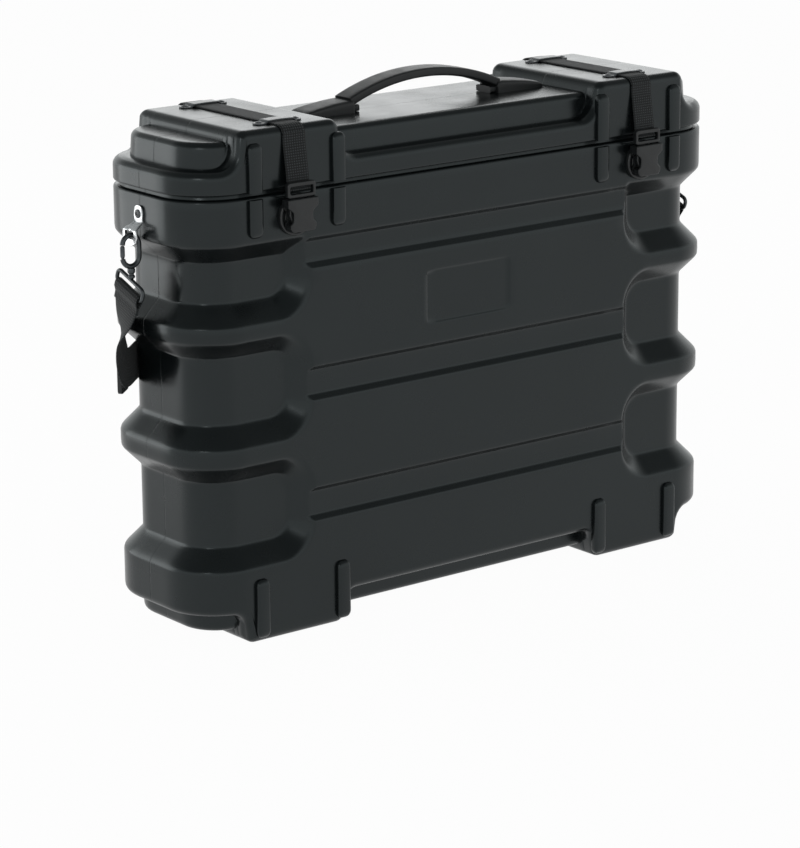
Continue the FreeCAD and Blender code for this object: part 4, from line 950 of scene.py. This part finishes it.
# the slide adjuster: a moulded frame with a middle bar, flat on the outer face of the left run
along, outside = np.array([0.744, 0.668, 0]), np.array([-0.668, 0.744, 0])
spot = np.array([-322.9, 31, 254.5])
loops = [window_frame(rounded_rectangle(-6, 0, 13, 22, 4), rounded_rectangle(-6, 0, 9, 19, 1.5),
                      (1.2, 5.7), 0.4)]
u, v = superellipse(20, 0.45)
rings = np.stack(np.broadcast_arrays(-6 + 3 * u, 3.45 + 2.2 * v, np.linspace(-20, 20, 9)[:, None]), -1)
loops.append(skin(rings))
axes = np.array([along, outside, (0, 0, 1)])
slider = [outward(spot + points @ axes, faces) for points, faces in loops]
piece("slide_adjuster", slider, acetal, "case", ["strap_slider"])


# Studio: a pale seamless floor, a white surround that dims overhead, soft lamps behind, behind to the
# left and in front, and the camera at the photograph's angle.
mesh = bpy.data.meshes.new("studio_floor")
below = -0.0003
mesh.from_pydata([(-6, -6, below), (6, -6, below), (6, 6, below), (-6, 6, below)], [], [(0, 1, 2, 3)])
floor = bpy.data.objects.new("studio_floor", mesh)
bpy.context.collection.objects.link(floor)
# plain white to the camera, a little greyer in reflections, with a trace of the shadow
paper, tree, surface = new_finish("white studio paper", Roughness=0.9, Specular_IOR_Level=0.1)
surface.inputs["Base Color"].default_value = linear("#f4f4f4")
path = add(tree, "LightPath")
seen = add(tree, "Math", {0: path.outputs["Is Camera Ray"], 1: path.outputs["Is Transmission Ray"]},
           operation="MAXIMUM")
direct = add(tree, "Math", {0: seen.outputs[0], 1: 0.97}, operation="MULTIPLY")
mirrored = add(tree, "Math", {0: path.outputs["Is Glossy Ray"], 1: 0.75}, operation="MULTIPLY")
white = add(tree, "Emission", {"Color": linear("#ffffff"), "Strength": 1.0})
share = add(tree, "Math", {0: direct.outputs[0], 1: mirrored.outputs[0]}, operation="MAXIMUM")
both = add(tree, "MixShader", {0: share.outputs[0], 1: surface.outputs[0], 2: white.outputs[0]})
output = [n for n in tree.nodes if n.type == "OUTPUT_MATERIAL"][0]
tree.links.new(both.outputs[0], output.inputs["Surface"])
mesh.materials.append(paper)

world = bpy.data.worlds.new("white surround")
bpy.context.scene.world = world
world.use_nodes = True
tree = world.node_tree
tree.nodes.clear()
path = add(tree, "LightPath")
seen = add(tree, "Math", {0: path.outputs["Is Camera Ray"], 1: path.outputs["Is Transmission Ray"]},
           operation="MAXIMUM")
height = add(tree, "SeparateXYZ", {"Vector": add(tree, "TexCoord").outputs["Generated"]}).outputs["Z"]
dome = add(tree, "ValToRGB", {"Fac": height})
dome.color_ramp.elements[0].position = 0.3
dome.color_ramp.elements[0].color = (0.97, 1, 1, 1)
dome.color_ramp.elements[1].position = 0.65
dome.color_ramp.elements[1].color = (0.2, 0.21, 0.21, 1)
lit = add(tree, "Background", {"Color": dome.outputs["Color"], "Strength": 1.0})
plain = add(tree, "Background", {"Color": (1, 1, 1, 1), "Strength": 1.0})
both = add(tree, "MixShader", {0: seen.outputs[0], 1: lit.outputs[0], 2: plain.outputs[0]})
tree.links.new(both.outputs[0], add(tree, "OutputWorld").inputs["Surface"])

for name, spot, aim, size, power in (("back_left_lamp", (-1.05, 0.95, 0.36), (-0.3, 0, 0.25), 0.9, 4.4),
                                     ("back_lamp", (1.3, 1.7, 1.2), (0, 0, 0.48), 1.4, 4.5),
                                     ("front_left_lamp", (-2.4, -1.6, 1.7), (-0.1, 0, 0.25), 0.5, 4.5)):
    lamp = bpy.data.lights.new(name, "AREA")
    lamp.shape = "SQUARE"
    lamp.size = size
    lamp.energy = power
    holder = bpy.data.objects.new(name, lamp)
    away = np.array(spot) - np.array(aim)
    flat = np.hypot(away[0], away[1])
    holder.location = spot
    holder.rotation_euler = (np.arctan2(flat, away[2]), 0, np.arctan2(away[1], away[0]) + np.pi / 2)
    bpy.context.collection.objects.link(holder)

camera = bpy.data.cameras.new("camera")
camera.lens = 140.09
camera.sensor_width = 36
camera.shift_x = -0.0251
camera.shift_y = -0.0007
camera.clip_end = 50
viewer = bpy.data.objects.new("camera", camera)
stand = (-1.959, -2.4776, 1.0008)
yaw, pitch, roll = np.radians([-38.343, -15.053, -0.334])
viewer.matrix_world = (Matrix.Translation(stand) @ Matrix.Rotation(yaw, 4, "Z")
                       @ Matrix.Rotation(np.pi / 2 + pitch, 4, "X") @ Matrix.Rotation(roll, 4, "Z"))
bpy.context.collection.objects.link(viewer)
bpy.context.scene.camera = viewer
bpy.context.scene.view_settings.view_transform = "Standard"
